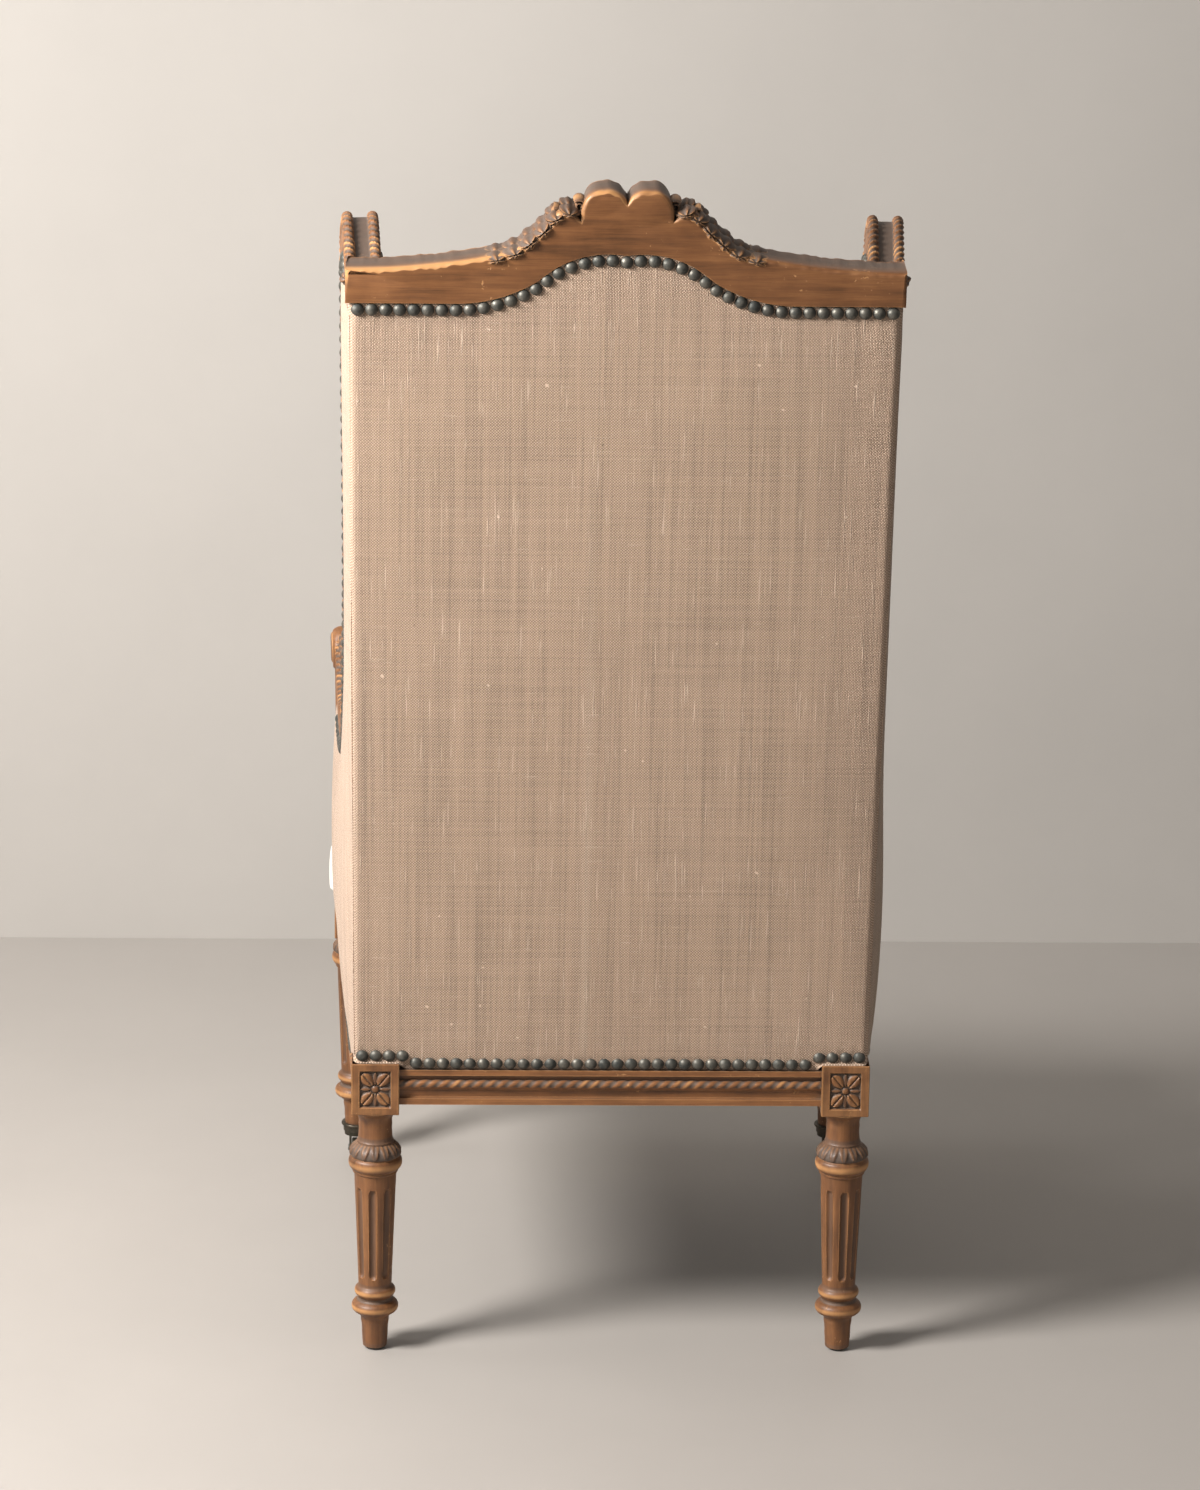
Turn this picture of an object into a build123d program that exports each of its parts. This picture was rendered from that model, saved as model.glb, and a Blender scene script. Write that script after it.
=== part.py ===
"""Wingback chair: turned and carved wooden frame, linen outside, white padded inside, front casters.

Millimetres, +Z up. The chair faces -Y and +X is the sitter's left. The origin is on the floor,
under the middle of the chair's box.
"""
import os
from math import atan, atan2, cos, dist, radians, sin, tan

from build123d import *

# Legs: plan
REAR_LEG_SPACING = 443.0
FRONT_LEG_SPACING = 494.5
LEG_DEPTH = 528.0

# Legs: square blocks with a carved rosette
BLOCK = 45.0
BLOCK_BOTTOM = 243.0
REAR_BLOCK_TOP = 294.0
PANEL_WIDTH = 29.5
PANEL_HEIGHT = 36.5
PANEL_DEPTH = 2.5
PETAL_LENGTH = 15.0
PETAL_WIDTH = 8.4
PETAL_OFFSET = 8.6
PETAL_HEIGHT = 2.0
ROSETTE_BOSS = 7.5
ROSETTE_BOSS_HEIGHT = 2.4

# Legs: turning, heights above the end of the wood
FOOT_DIAMETER = 23.0
FOOT_NECK_DIAMETER = 27.0
FOOT_NECK_HEIGHT = 27.0
LOWER_RING_DIAMETER = 41.8
LOWER_RING_HEIGHT = 41.4
LOWER_RING_THICK = 10.0
UPPER_RING_DIAMETER = 38.8
UPPER_RING_HEIGHT = 56.8
UPPER_RING_THICK = 9.0
RING_GAP_DIAMETER = 34.0
SHAFT_BOTTOM_DIAMETER = 32.2
SHAFT_BOTTOM_HEIGHT = 64.0
SHAFT_TOP_DIAMETER = 40.0
SHAFT_TOP_HEIGHT = 178.0
KNOP_DIAMETER = 51.6
KNOP_HEIGHT = 195.5
KNOP_TOP_DIAMETER = 33.6
KNOP_TOP_HEIGHT = 209.0
NECK_DIAMETER = 32.0
COLLAR_DIAMETER = 44.0
COLLAR_HEIGHT = 15.0
FLUTE_COUNT = 8
FLUTE_WIDTH = 7.0
FLUTE_DEPTH = 2.6
FLUTE_BOTTOM_HEIGHT = 75.0
FLUTE_TOP_HEIGHT = 159.0

# Rear glides
GLIDE_DIAMETER = 15.0
GLIDE_THICK = 2.0
GLIDE_PIN_DIAMETER = 3.0
GLIDE_PIN_LENGTH = 9.0

# Front casters
CASTER_HEIGHT = 29.5
CUP_WALL = 1.6
CUP_DEPTH = 6.0
CUP_FLOOR = 2.6
CUP_RIM = 1.6
CUP_RIM_HEIGHT = 3.0
CUP_CLEARANCE = 0.1
FORK_DISC_DIAMETER = 25.0
FORK_DISC_THICK = 4.0
FORK_CHEEK_THICK = 2.4
FORK_CHEEK_WIDTH = 11.0
FORK_TRAIL = 9.0
SWIVEL_GAP = 0.3
WHEEL_DIAMETER = 20.0
WHEEL_WIDTH = 9.0
WHEEL_SIDE_GAP = 0.5
WHEEL_EDGE = 1.6
AXLE_DIAMETER = 4.0
AXLE_HEAD_DIAMETER = 6.4
AXLE_HEAD_THICK = 1.2
PIVOT_DIAMETER = 5.0
PIVOT_HEAD_DIAMETER = 8.0
PIVOT_HEAD_THICK = 0.8
RUNNING_CLEARANCE = 0.05

# Seat rails
RAIL_BOTTOM = 252.0
RAIL_THICK = 30.0
RAIL_SETBACK = 5.5
SIDE_RAIL_SETBACK = 1.5
LOWER_FILLET = 6.0
LOWER_COVE = 8.0
BEAD = 8.0
UPPER_COVE = 7.0
UPPER_FILLET = 5.5
COVE_DEPTH = 4.0
TONGUE_HEIGHT = 13.5
TENON_LENGTH = 18.0
TENON_THICK = 10.0
TENON_HEIGHT = 24.0
TENON_CLEARANCE = 0.15
CORNER_BLOCK_LEG = 46.0
CORNER_BLOCK_HEIGHT = 32.0
CORNER_BLOCK_DROP = 6.0
SCREW_DIAMETER = 5.0
SCREW_LENGTH = 46.0
SCREW_HEAD_DIAMETER = 9.0
SCREW_HEAD_THICK = 2.5

# Back: the outside of the linen is the reference plane
RAKE_DEG = 7.9
BACK_SETBACK = 8.5
LINEN = 5.0
COVER_GAP = 0.2
STILE_WIDTH = 34.0
STILE_THICK = 30.0
STILE_SIDE_GAP = 1.5
BACK_TACK_RAIL_HEIGHT = 34.0
BACK_TACK_RAIL_LIFT = 12.0

# Crest rail: heights are along the rake, above the linen's lower edge
CREST_HALF_WIDTH = 249.0
CREST_PROUD = 2.0
CREST_THICK = 39.0
CREST_EDGE_HEIGHT = 763.5
CREST_END_DEPTH = 31.5
CREST_RISE = 74.0
CREST_ARCH_HALF = 152.0
CREST_ARCH_RISE = 46.0
CREST_TONGUE = 16.0
SHOULDER_X = 104.0
SHOULDER_SHARE = 0.2162
LEAF_X = 66.0
LEAF_SHARE = 0.5878
SCROLL_X = 60.0
SCROLL_SHARE = 0.7432
NOTCH_X = 41.0
NOTCH_SHARE = 0.6351
LOBE_SIDE_X = 39.0
LOBE_SIDE_SHARE = 0.8378
LOBE_TOP_X = 21.0
CENTRE_NOTCH_SHARE = 0.8446

# Sides: points of the show-wood's outer edge, (forward of the rear legs, above the seat rails)
SIDE_LEAN_DEG = 0.69
WING_START = (-100.0, 771.0)
EAR_TOP = (-4.0, 806.0)
EAR_FRONT = (100.0, 764.0)
WING_WAIST = (96.0, 470.0)
ARM_BEND_SHARE = 0.4072
ARM_BEND_HEIGHT = 262.0
ARM_LOW_SHARE = 0.625
ARM_LOW_HEIGHT = 250.0
ARM_END_SETBACK = 96.0
ARM_END_HEIGHT = 288.0
WING_RADII = (60.0, 50.0, 260.0)
ARM_BEND_TIGHTNESS = 0.969
WING_JOINT_HEIGHT = 360.0
SHOW_WOOD_WIDTH = 34.0
SHOW_WOOD_THICK = 32.0
SHOW_WOOD_BEAD = 9.0
SHOW_WOOD_CHANNEL = 3.0
SHOW_WOOD_TONGUE = 14.0
KNUCKLE_DIAMETER = 44.0
KNUCKLE_PROUD = 2.0
POST_TOP_SETBACK = 100.0
POST_TOP_HEIGHT = 262.0
POST_WAIST_SETBACK = 132.0
POST_WAIST_HEIGHT = 130.0
POST_FOOT_SETBACK = 104.0
POST_FOOT_HEIGHT = -10.0
POST_RADIUS = 160.0
POST_WIDTH = 32.0
LINEN_RECESS = 2.0
SIDE_TACK_RAIL_HEIGHT = 30.0
SIDE_TACK_RAIL_LIFT = 12.0
SIDE_TACK_RAIL_THICK = 16.0

# Inside covers
PAD_BORDER = 13.0
PAD_BORDER_THICK = 6.0
PAD_GAP = 0.4
SIDE_PAD_CROWN = 24.0
SIDE_PAD_LIFT = 24.0
PAD_SPLIT_HEIGHT = 235.0
SIDE_CROWN_RADIUS = 1500.0
BACK_PAD_HALF_WIDTH = 186.0
BACK_PAD_CROWN = 40.0
BACK_PAD_OVERLAP = 8.0
BACK_CROWN_RADIUS = 1500.0
PAD_TAPER_DEG = 14.0

# Seat
WEB_WIDTH = 50.0
WEB_THICK = 2.0
WEB_LAP = 10.0
SEAT_WEB_ACROSS = 5
SEAT_WEB_ALONG = 5
BACK_WEB_ACROSS = 5
BACK_WEB_ALONG = 3
HESSIAN = 1.0
DECK_HEIGHT = 40.0
DECK_EDGE_RADIUS = 13.0
DECK_FRONT_OVERHANG = 20.0
DECK_SIDE_OVERHANG = 6.0
DECK_EAR_DEPTH = 58.0
CUSHION_HEIGHT = 92.0
CUSHION_FRONT_OVERHANG = 12.0
CUSHION_SIDE_GAP = 2.5
CUSHION_BACK_GAP = 3.0
CUSHION_EDGE_INSET = 16.0
CUSHION_SIDE_DRAW = 7.0
CUSHION_EDGE_SHARE = 0.34
CUSHION_CROWN_RADIUS = 1300.0
DUST_COVER = 1.2
DUST_COVER_INSET = 14.0

# Nails
NAIL_DIAMETER = 11.8
NAIL_HEIGHT = 4.4
NAIL_SHANK = 1.8
NAIL_SHANK_LENGTH = 10.0
NAIL_PITCH = 12.5
NAIL_EDGE = 6.2

# A field larger than the whole chair, to cut from
FIELD = 3000.0

# Places that follow from the sizes
FLARE = atan((FRONT_LEG_SPACING - REAR_LEG_SPACING) / 2 / LEG_DEPTH)
RAKE = radians(RAKE_DEG)
LEAN = radians(SIDE_LEAN_DEG)
RAIL_EXPOSED_TOP = RAIL_BOTTOM + LOWER_FILLET + LOWER_COVE + BEAD + UPPER_COVE + UPPER_FILLET
RAIL_TOP = RAIL_EXPOSED_TOP + TONGUE_HEIGHT
BACK_FOOT = BLOCK / 2 - BACK_SETBACK
CREST_END_HEIGHT = CREST_EDGE_HEIGHT + CREST_END_DEPTH
SHOULDER_HEIGHT = CREST_END_HEIGHT + CREST_RISE * SHOULDER_SHARE
LEAF_HEIGHT = CREST_END_HEIGHT + CREST_RISE * LEAF_SHARE
SCROLL_HEIGHT = CREST_END_HEIGHT + CREST_RISE * SCROLL_SHARE
NOTCH_HEIGHT = CREST_END_HEIGHT + CREST_RISE * NOTCH_SHARE
LOBE_SIDE_HEIGHT = CREST_END_HEIGHT + CREST_RISE * LOBE_SIDE_SHARE
LOBE_TOP_HEIGHT = CREST_END_HEIGHT + CREST_RISE
CENTRE_NOTCH_HEIGHT = CREST_END_HEIGHT + CREST_RISE * CENTRE_NOTCH_SHARE
ARM_BEND = (LEG_DEPTH * ARM_BEND_SHARE, ARM_BEND_HEIGHT)
ARM_LOW = (LEG_DEPTH * ARM_LOW_SHARE, ARM_LOW_HEIGHT)
ARM_END = (LEG_DEPTH - ARM_END_SETBACK, ARM_END_HEIGHT)
POST_TOP = (LEG_DEPTH - POST_TOP_SETBACK, POST_TOP_HEIGHT)
POST_WAIST = (LEG_DEPTH - POST_WAIST_SETBACK, POST_WAIST_HEIGHT)
POST_FOOT = (LEG_DEPTH - POST_FOOT_SETBACK, POST_FOOT_HEIGHT)
BACK_REACH = BACK_FOOT + LOBE_TOP_HEIGHT * sin(RAKE) + CREST_PROUD * cos(RAKE)
REAR_Y = (LEG_DEPTH + KNOP_DIAMETER / 2 - BACK_REACH) / 2
FRONT_Y = REAR_Y - LEG_DEPTH
REAR_X = REAR_LEG_SPACING / 2
FRONT_X = FRONT_LEG_SPACING / 2
SIDE_X = REAR_X + BLOCK / 2
WEB_FRONT = STILE_THICK + LINEN + 2 * WEB_THICK
PAD_FACE = SHOW_WOOD_THICK - PAD_BORDER_THICK
PAD_INNER = SHOW_WOOD_THICK + SIDE_PAD_CROWN
DECK_BOTTOM = RAIL_TOP + 2 * WEB_THICK + HESSIAN
DECK_TOP = DECK_BOTTOM + DECK_HEIGHT
CUSHION_BOTTOM = DECK_TOP + PAD_GAP

# Back frame: local x across, local y up the rake, local z out of the back
BACK = Plane(
    origin=(0, REAR_Y + BACK_FOOT, RAIL_EXPOSED_TOP),
    x_dir=(-1, 0, 0),
    z_dir=(0, cos(RAKE), -sin(RAKE)),
)

# Left side frame: local x forward, local y up, local z into the chair
SIDE_FORWARD = Vector(sin(FLARE), -cos(FLARE), 0)
SIDE_OUT = Vector(cos(FLARE), sin(FLARE), 0)
SIDE = Plane(
    origin=(SIDE_X, REAR_Y, RAIL_TOP),
    x_dir=SIDE_FORWARD,
    z_dir=Vector(0, 0, sin(LEAN)) - SIDE_OUT * cos(LEAN),
)


def side_x(y, z=RAIL_TOP):
    """X of the left side's outer plane at a depth and a height."""
    return SIDE_X + (REAR_Y - y) * tan(FLARE) + (z - RAIL_TOP) * tan(LEAN)


def back_y(z, depth=0.0):
    """Y of the back's outer plane, or of a plane that lies deeper in the back, at a height."""
    return REAR_Y + BACK_FOOT + (z - RAIL_EXPOSED_TOP) * tan(RAKE) - depth / cos(RAKE)


def back_line(depth, height):
    """Forward place, in the side frame, of a plane that lies deeper in the back, at a height."""
    return (REAR_Y - back_y(RAIL_TOP + height, depth)) / cos(FLARE)


def mirrored(shape):
    """The same piece, or list of pieces, on the sitter's right."""
    if isinstance(shape, list):
        return [mirrored(one) for one in shape]
    return shape.mirror(Plane.YZ)


def box_between(low, high):
    """A box from its lowest to its highest corner."""
    size = [b - a for a, b in zip(low, high)]
    centre = [(a + b) / 2 for a, b in zip(low, high)]
    return Pos(*centre) * Box(*size)


def upright_pin(radius, height):
    """A cylinder that stands on z 0."""
    return Cylinder(radius, height, align=(Align.CENTER, Align.CENTER, Align.MIN))


def prism(points, bottom, top):
    """An upright prism over a plan outline."""
    outline = make_face(Polyline(*points, close=True))
    return extrude(Pos(0, 0, bottom) * outline, top - bottom)


def slab(face, plane, start, thickness):
    """A flat piece: an outline in a frame, from a start depth along the frame's z."""
    return extrude(plane.offset(start) * face, thickness, dir=plane.z_dir)


def largest(sketch):
    """The largest face of a sketch."""
    return sketch.faces().sort_by(SortBy.AREA)[-1]


def arc_points(first, last, bulge):
    """Middle point of an arc that swells outward (to the right of the way it goes) by its bulge."""
    (x0, y0), (x1, y1) = first, last
    length = ((x1 - x0) ** 2 + (y1 - y0) ** 2) ** 0.5
    return ((x0 + x1) / 2 + bulge * (y1 - y0) / length, (y0 + y1) / 2 - bulge * (x1 - x0) / length)


def outline_edges(points):
    """Lines and arcs through (x, y, bulge) points; the bulge belongs to the edge that ends there."""
    edges = []
    for (x0, y0, _), (x1, y1, bulge) in zip(points, points[1:]):
        if bulge:
            edges.append(ThreePointArc((x0, y0), arc_points((x0, y0), (x1, y1), bulge), (x1, y1)))
        else:
            edges.append(Line((x0, y0), (x1, y1)))
    return edges


def turned(points):
    """A solid turned about Z from (radius, height, bulge) points."""
    closed = [(0, points[0][1], 0)] + points + [(0, points[-1][1], 0)]
    edges = outline_edges(closed) + [Line((0, points[-1][1]), (0, points[0][1]))]
    return revolve(Plane.XZ * make_face(edges), Axis.Z)


# Legs

def leg_turning(top):
    """The turned leg from its foot to the block, at z 0, with flutes on its shaft."""
    foot, neck = FOOT_DIAMETER / 2, FOOT_NECK_DIAMETER / 2
    low, high = LOWER_RING_DIAMETER / 2, UPPER_RING_DIAMETER / 2
    gap, knop = RING_GAP_DIAMETER / 2, KNOP_DIAMETER / 2
    shaft_low, shaft_high = SHAFT_BOTTOM_DIAMETER / 2, SHAFT_TOP_DIAMETER / 2
    ring_half, rim_half = LOWER_RING_THICK / 2, UPPER_RING_THICK / 2
    points = [
        (foot, 0, 0),
        (neck, FOOT_NECK_HEIGHT, 0),
        (low - 3, LOWER_RING_HEIGHT - ring_half, -1.2),
        (low - 3, LOWER_RING_HEIGHT + ring_half, 3),
        (gap, LOWER_RING_HEIGHT + ring_half + 0.6, 0),
        (gap, UPPER_RING_HEIGHT - rim_half - 0.6, -0.8),
        (high - 2.6, UPPER_RING_HEIGHT - rim_half, 0),
        (high - 2.6, UPPER_RING_HEIGHT + rim_half, 2.6),
        (shaft_low, SHAFT_BOTTOM_HEIGHT, 0),
        (shaft_high, SHAFT_TOP_HEIGHT, 0),
        (shaft_high + 1.2, SHAFT_TOP_HEIGHT + 0.4, 0),
        (shaft_high + 1.2, SHAFT_TOP_HEIGHT + 3, 0),
        (knop, KNOP_HEIGHT, 1.1),
        (KNOP_TOP_DIAMETER / 2, KNOP_TOP_HEIGHT, 2.3),
        (NECK_DIAMETER / 2, KNOP_TOP_HEIGHT + 1, 0),
    ]
    collar_start = top - COLLAR_HEIGHT
    if collar_start > KNOP_TOP_HEIGHT + 2:
        points += [(NECK_DIAMETER / 2, collar_start, -0.5), (COLLAR_DIAMETER / 2, top, -2.4)]
    else:
        points += [(NECK_DIAMETER / 2, top, 0)]
    return turned(points) - flutes()


def shaft_radius(height):
    """Radius of the tapered shaft."""
    share = (height - SHAFT_BOTTOM_HEIGHT) / (SHAFT_TOP_HEIGHT - SHAFT_BOTTOM_HEIGHT)
    return (SHAFT_BOTTOM_DIAMETER + share * (SHAFT_TOP_DIAMETER - SHAFT_BOTTOM_DIAMETER)) / 2


def flutes():
    """Round-ended grooves down the shaft."""
    radius = FLUTE_WIDTH / 2
    lift = radius - FLUTE_DEPTH
    low = Vector(shaft_radius(FLUTE_BOTTOM_HEIGHT) + lift, 0, FLUTE_BOTTOM_HEIGHT)
    high = Vector(shaft_radius(FLUTE_TOP_HEIGHT) + lift, 0, FLUTE_TOP_HEIGHT)
    along = Plane(origin=low, z_dir=high - low)
    groove = Solid.make_cylinder(radius, (high - low).length, along)
    groove += [Pos(*low) * Sphere(radius), Pos(*high) * Sphere(radius)]
    return [Rot(0, 0, 360 * k / FLUTE_COUNT) * groove for k in range(FLUTE_COUNT)]


def rosette(face):
    """The sunk panel to cut from a block's face, and the flower that stands in it."""
    sunk = extrude(face * Rectangle(PANEL_WIDTH, PANEL_HEIGHT), -PANEL_DEPTH)
    floor = face.offset(-PANEL_DEPTH)
    petal = Pos(PETAL_OFFSET, 0) * Ellipse(PETAL_LENGTH / 2, PETAL_WIDTH / 2)
    petals = [extrude(floor * (Rot(0, 0, 45 + 90 * k) * petal), PETAL_HEIGHT) for k in range(4)]
    boss = extrude(floor * Circle(ROSETTE_BOSS / 2), ROSETTE_BOSS_HEIGHT)
    return sunk, petals + [boss]


def carved_block(bottom, top, faces):
    """A leg's square block about the Z axis, with a rosette on each of the named faces."""
    block = box_between((-BLOCK / 2, -BLOCK / 2, bottom), (BLOCK / 2, BLOCK / 2, top))
    middle = (bottom + top) / 2
    for out in faces:
        face = Plane(origin=Vector(0, 0, middle) + out * (BLOCK / 2), x_dir=out.cross(Vector(0, 0, 1)), z_dir=out)
        sunk, flower = rosette(face)
        block = block - sunk + flower
    return block


def rear_rail_face():
    return REAR_Y + BLOCK / 2 - RAIL_SETBACK


def front_rail_face():
    return FRONT_Y - BLOCK / 2 + RAIL_SETBACK


def tenon_middle():
    return (RAIL_BOTTOM + RAIL_EXPOSED_TOP) / 2


def cross_tenon(x_face, y_rail, room=0.0):
    """Left tenon of the front or rear rail, or its mortise when it has room added."""
    half, tall = TENON_THICK / 2 + room, TENON_HEIGHT / 2 + room
    end = x_face + TENON_LENGTH + 2 * room
    middle = tenon_middle()
    return box_between((x_face, y_rail - half, middle - tall), (end, y_rail + half, middle + tall))


def side_tenon(y_face, toward, room=0.0):
    """Tenon at the end of the left seat rail, or its mortise when it has room added."""
    x = side_x(y_face) - SIDE_RAIL_SETBACK - RAIL_THICK / 2
    half, tall = TENON_THICK / 2 + room, TENON_HEIGHT / 2 + room
    ends = sorted((y_face, y_face + toward * (TENON_LENGTH + 2 * room)))
    return box_between((x - half, ends[0], tenon_middle() - tall), (x + half, ends[1], tenon_middle() + tall))


def stile_outer(height):
    """X of the left stile's outer side at a height up the rake."""
    base = BACK.from_local_coords((0, height, 0))
    return side_x(base.Y - LINEN, base.Z) - LINEN_RECESS - LINEN - STILE_SIDE_GAP


def stile():
    """The raked stile above the left rear block, from inside the block to the crest rail."""
    up = Vector(0, sin(RAKE), cos(RAKE))
    sections = []
    for height in (-10.0, CREST_EDGE_HEIGHT - CREST_TONGUE - COVER_GAP):
        place = Plane(origin=BACK.from_local_coords((0, height, 0)), x_dir=(1, 0, 0), z_dir=up)
        centre = Pos(stile_outer(height) - STILE_WIDTH / 2, -LINEN - COVER_GAP - STILE_THICK / 2)
        sections.append(place * (centre * Rectangle(STILE_WIDTH, STILE_THICK - 2 * COVER_GAP)))
    return loft(sections, ruled=True)


def rear_leg():
    """Left rear leg: turning, block and stile in one piece."""
    turning = Pos(0, 0, GLIDE_THICK) * leg_turning(BLOCK_BOTTOM - GLIDE_THICK)
    block = carved_block(BLOCK_BOTTOM, REAR_BLOCK_TOP, [Vector(0, 1, 0), Vector(1, 0, 0)])
    pin = upright_pin(GLIDE_PIN_DIAMETER / 2 + TENON_CLEARANCE, GLIDE_PIN_LENGTH + 1)
    leg = Pos(REAR_X, REAR_Y, 0) * (turning + block - Pos(0, 0, GLIDE_THICK) * pin)
    leg += stile()
    leg -= cross_tenon(REAR_X - BLOCK / 2, rear_rail_face() - RAIL_THICK / 2, TENON_CLEARANCE)
    leg -= side_tenon(REAR_Y - BLOCK / 2, 1, TENON_CLEARANCE)
    return leg


def front_leg():
    """Left front leg: turning and block, with its foot in the caster's cup."""
    turning = Pos(0, 0, CASTER_HEIGHT) * leg_turning(BLOCK_BOTTOM - CASTER_HEIGHT)
    block = carved_block(BLOCK_BOTTOM, RAIL_TOP, [Vector(0, -1, 0), Vector(1, 0, 0)])
    leg = Pos(FRONT_X, FRONT_Y, 0) * (turning + block)
    leg -= cross_tenon(FRONT_X - BLOCK / 2, front_rail_face() + RAIL_THICK / 2, TENON_CLEARANCE)
    leg -= side_tenon(FRONT_Y + BLOCK / 2, -1, TENON_CLEARANCE)
    return leg


def rear_glides():
    """A round glide nailed under each rear foot."""
    glide = upright_pin(GLIDE_DIAMETER / 2, GLIDE_THICK)
    pin = upright_pin(GLIDE_PIN_DIAMETER / 2, GLIDE_PIN_LENGTH)
    left = Pos(REAR_X, REAR_Y, 0) * (glide + Pos(0, 0, GLIDE_THICK) * pin)
    return [left, mirrored(left)]


# Casters

def at_front_leg(shape):
    return Pos(FRONT_X, FRONT_Y, 0) * shape


def cup_bottom():
    return CASTER_HEIGHT - CUP_FLOOR


def caster_cup():
    """Cup on the left front foot, with the pivot that the fork turns on."""
    foot_rim = FOOT_DIAMETER / 2 + CUP_DEPTH * (FOOT_NECK_DIAMETER - FOOT_DIAMETER) / 2 / FOOT_NECK_HEIGHT
    outer = foot_rim + CUP_CLEARANCE + CUP_WALL
    inner_low = FOOT_DIAMETER / 2 + CUP_CLEARANCE
    top = CASTER_HEIGHT + CUP_DEPTH
    cup = turned([
        (outer, cup_bottom(), 0),
        (outer, top - CUP_RIM_HEIGHT, 0),
        (outer + CUP_RIM, top - CUP_RIM_HEIGHT + 0.4, 0),
        (outer + CUP_RIM, top, 0.5),
    ])
    hollow = turned([(inner_low, CASTER_HEIGHT, 0), (foot_rim + CUP_CLEARANCE, top, 0)])
    pivot_bottom = cup_bottom() - 2 * SWIVEL_GAP - FORK_DISC_THICK
    pivot = Pos(0, 0, pivot_bottom) * upright_pin(PIVOT_DIAMETER / 2, cup_bottom() - pivot_bottom)
    head = Pos(0, 0, pivot_bottom - PIVOT_HEAD_THICK) * upright_pin(PIVOT_HEAD_DIAMETER / 2, PIVOT_HEAD_THICK)
    return at_front_leg(cup - hollow + pivot + head)


def wheel_place():
    """The wheel's centre, behind the pivot by the trail."""
    return FRONT_X, FRONT_Y + FORK_TRAIL, WHEEL_DIAMETER / 2


def caster_fork():
    """Fork: a disc under the cup and two cheeks down to the axle."""
    top = cup_bottom() - SWIVEL_GAP
    disc = Pos(0, 0, top - FORK_DISC_THICK) * upright_pin(FORK_DISC_DIAMETER / 2, FORK_DISC_THICK)
    hole = upright_pin(PIVOT_DIAMETER / 2 + RUNNING_CLEARANCE, FORK_DISC_THICK + 2)
    hole = Pos(0, 0, top - FORK_DISC_THICK - 1) * hole
    inner = WHEEL_WIDTH / 2 + WHEEL_SIDE_GAP
    cheek = Plane.YZ * make_face(Polyline(
        (FORK_TRAIL - FORK_CHEEK_WIDTH / 2, WHEEL_DIAMETER / 2),
        (FORK_TRAIL + FORK_CHEEK_WIDTH / 2, WHEEL_DIAMETER / 2),
        (FORK_CHEEK_WIDTH, top - FORK_DISC_THICK / 2),
        (-FORK_CHEEK_WIDTH / 2, top - FORK_DISC_THICK / 2),
        close=True,
    ))
    end = Plane.YZ * (Pos(FORK_TRAIL, WHEEL_DIAMETER / 2) * Circle(FORK_CHEEK_WIDTH / 2))
    cheeks = [
        extrude(Pos(x, 0, 0) * face, FORK_CHEEK_THICK)
        for x in (inner, -inner - FORK_CHEEK_THICK)
        for face in (cheek, end)
    ]
    hollow = box_between(
        (-inner, FORK_TRAIL - WHEEL_DIAMETER / 2 - 2, 0),
        (inner, FORK_TRAIL + WHEEL_DIAMETER / 2 + 2, WHEEL_DIAMETER + 0.6),
    )
    axle_hole = Plane.YZ * (Pos(FORK_TRAIL, WHEEL_DIAMETER / 2) * Circle(AXLE_DIAMETER / 2))
    axle_hole = extrude(axle_hole, inner + FORK_CHEEK_THICK + 1, both=True)
    return at_front_leg(disc + cheeks - hollow - hole - axle_hole)


def caster_axle():
    """Riveted axle through the fork's cheeks."""
    half = WHEEL_WIDTH / 2 + WHEEL_SIDE_GAP + FORK_CHEEK_THICK
    pin = extrude(Plane.YZ * Circle(AXLE_DIAMETER / 2), half, both=True)
    head = extrude(Plane.YZ.offset(half) * Circle(AXLE_HEAD_DIAMETER / 2), AXLE_HEAD_THICK)
    return Pos(*wheel_place()) * (pin + head + mirrored(head))


def caster_wheel():
    """Wheel with rounded edges and a bore for the axle."""
    rim = extrude(Plane.YZ * Circle(WHEEL_DIAMETER / 2), WHEEL_WIDTH / 2, both=True)
    rim = fillet(rim.edges().filter_by(GeomType.CIRCLE), WHEEL_EDGE)
    bore = extrude(Plane.YZ * Circle(AXLE_DIAMETER / 2 + RUNNING_CLEARANCE), WHEEL_WIDTH, both=True)
    return Pos(*wheel_place()) * (rim - bore)


# Seat frame

def rail_profile(tongue_low, tongue_high):
    """Rail section: x out of its face, y up. The tongue above the moulding is set back for the cover."""
    levels = [RAIL_BOTTOM]
    for step in (LOWER_FILLET, LOWER_COVE, BEAD, UPPER_COVE, UPPER_FILLET):
        levels.append(levels[-1] + step)
    points = [
        (-RAIL_THICK, RAIL_BOTTOM, 0),
        (0, levels[0], 0),
        (0, levels[1], 0),
        (-COVE_DEPTH, levels[1] + 1, -0.3),
        (-COVE_DEPTH, levels[2], 0),
        (-COVE_DEPTH, levels[3], BEAD * 0.45),
        (-COVE_DEPTH, levels[4] - 1, 0),
        (0, levels[4], -0.3),
        (0, levels[5], 0),
        (-tongue_low, levels[5], 0),
        (-tongue_high, RAIL_TOP, 0),
        (-RAIL_THICK, RAIL_TOP, 0),
        (-RAIL_THICK, RAIL_BOTTOM, 0),
    ]
    return make_face(outline_edges(points))


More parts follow.
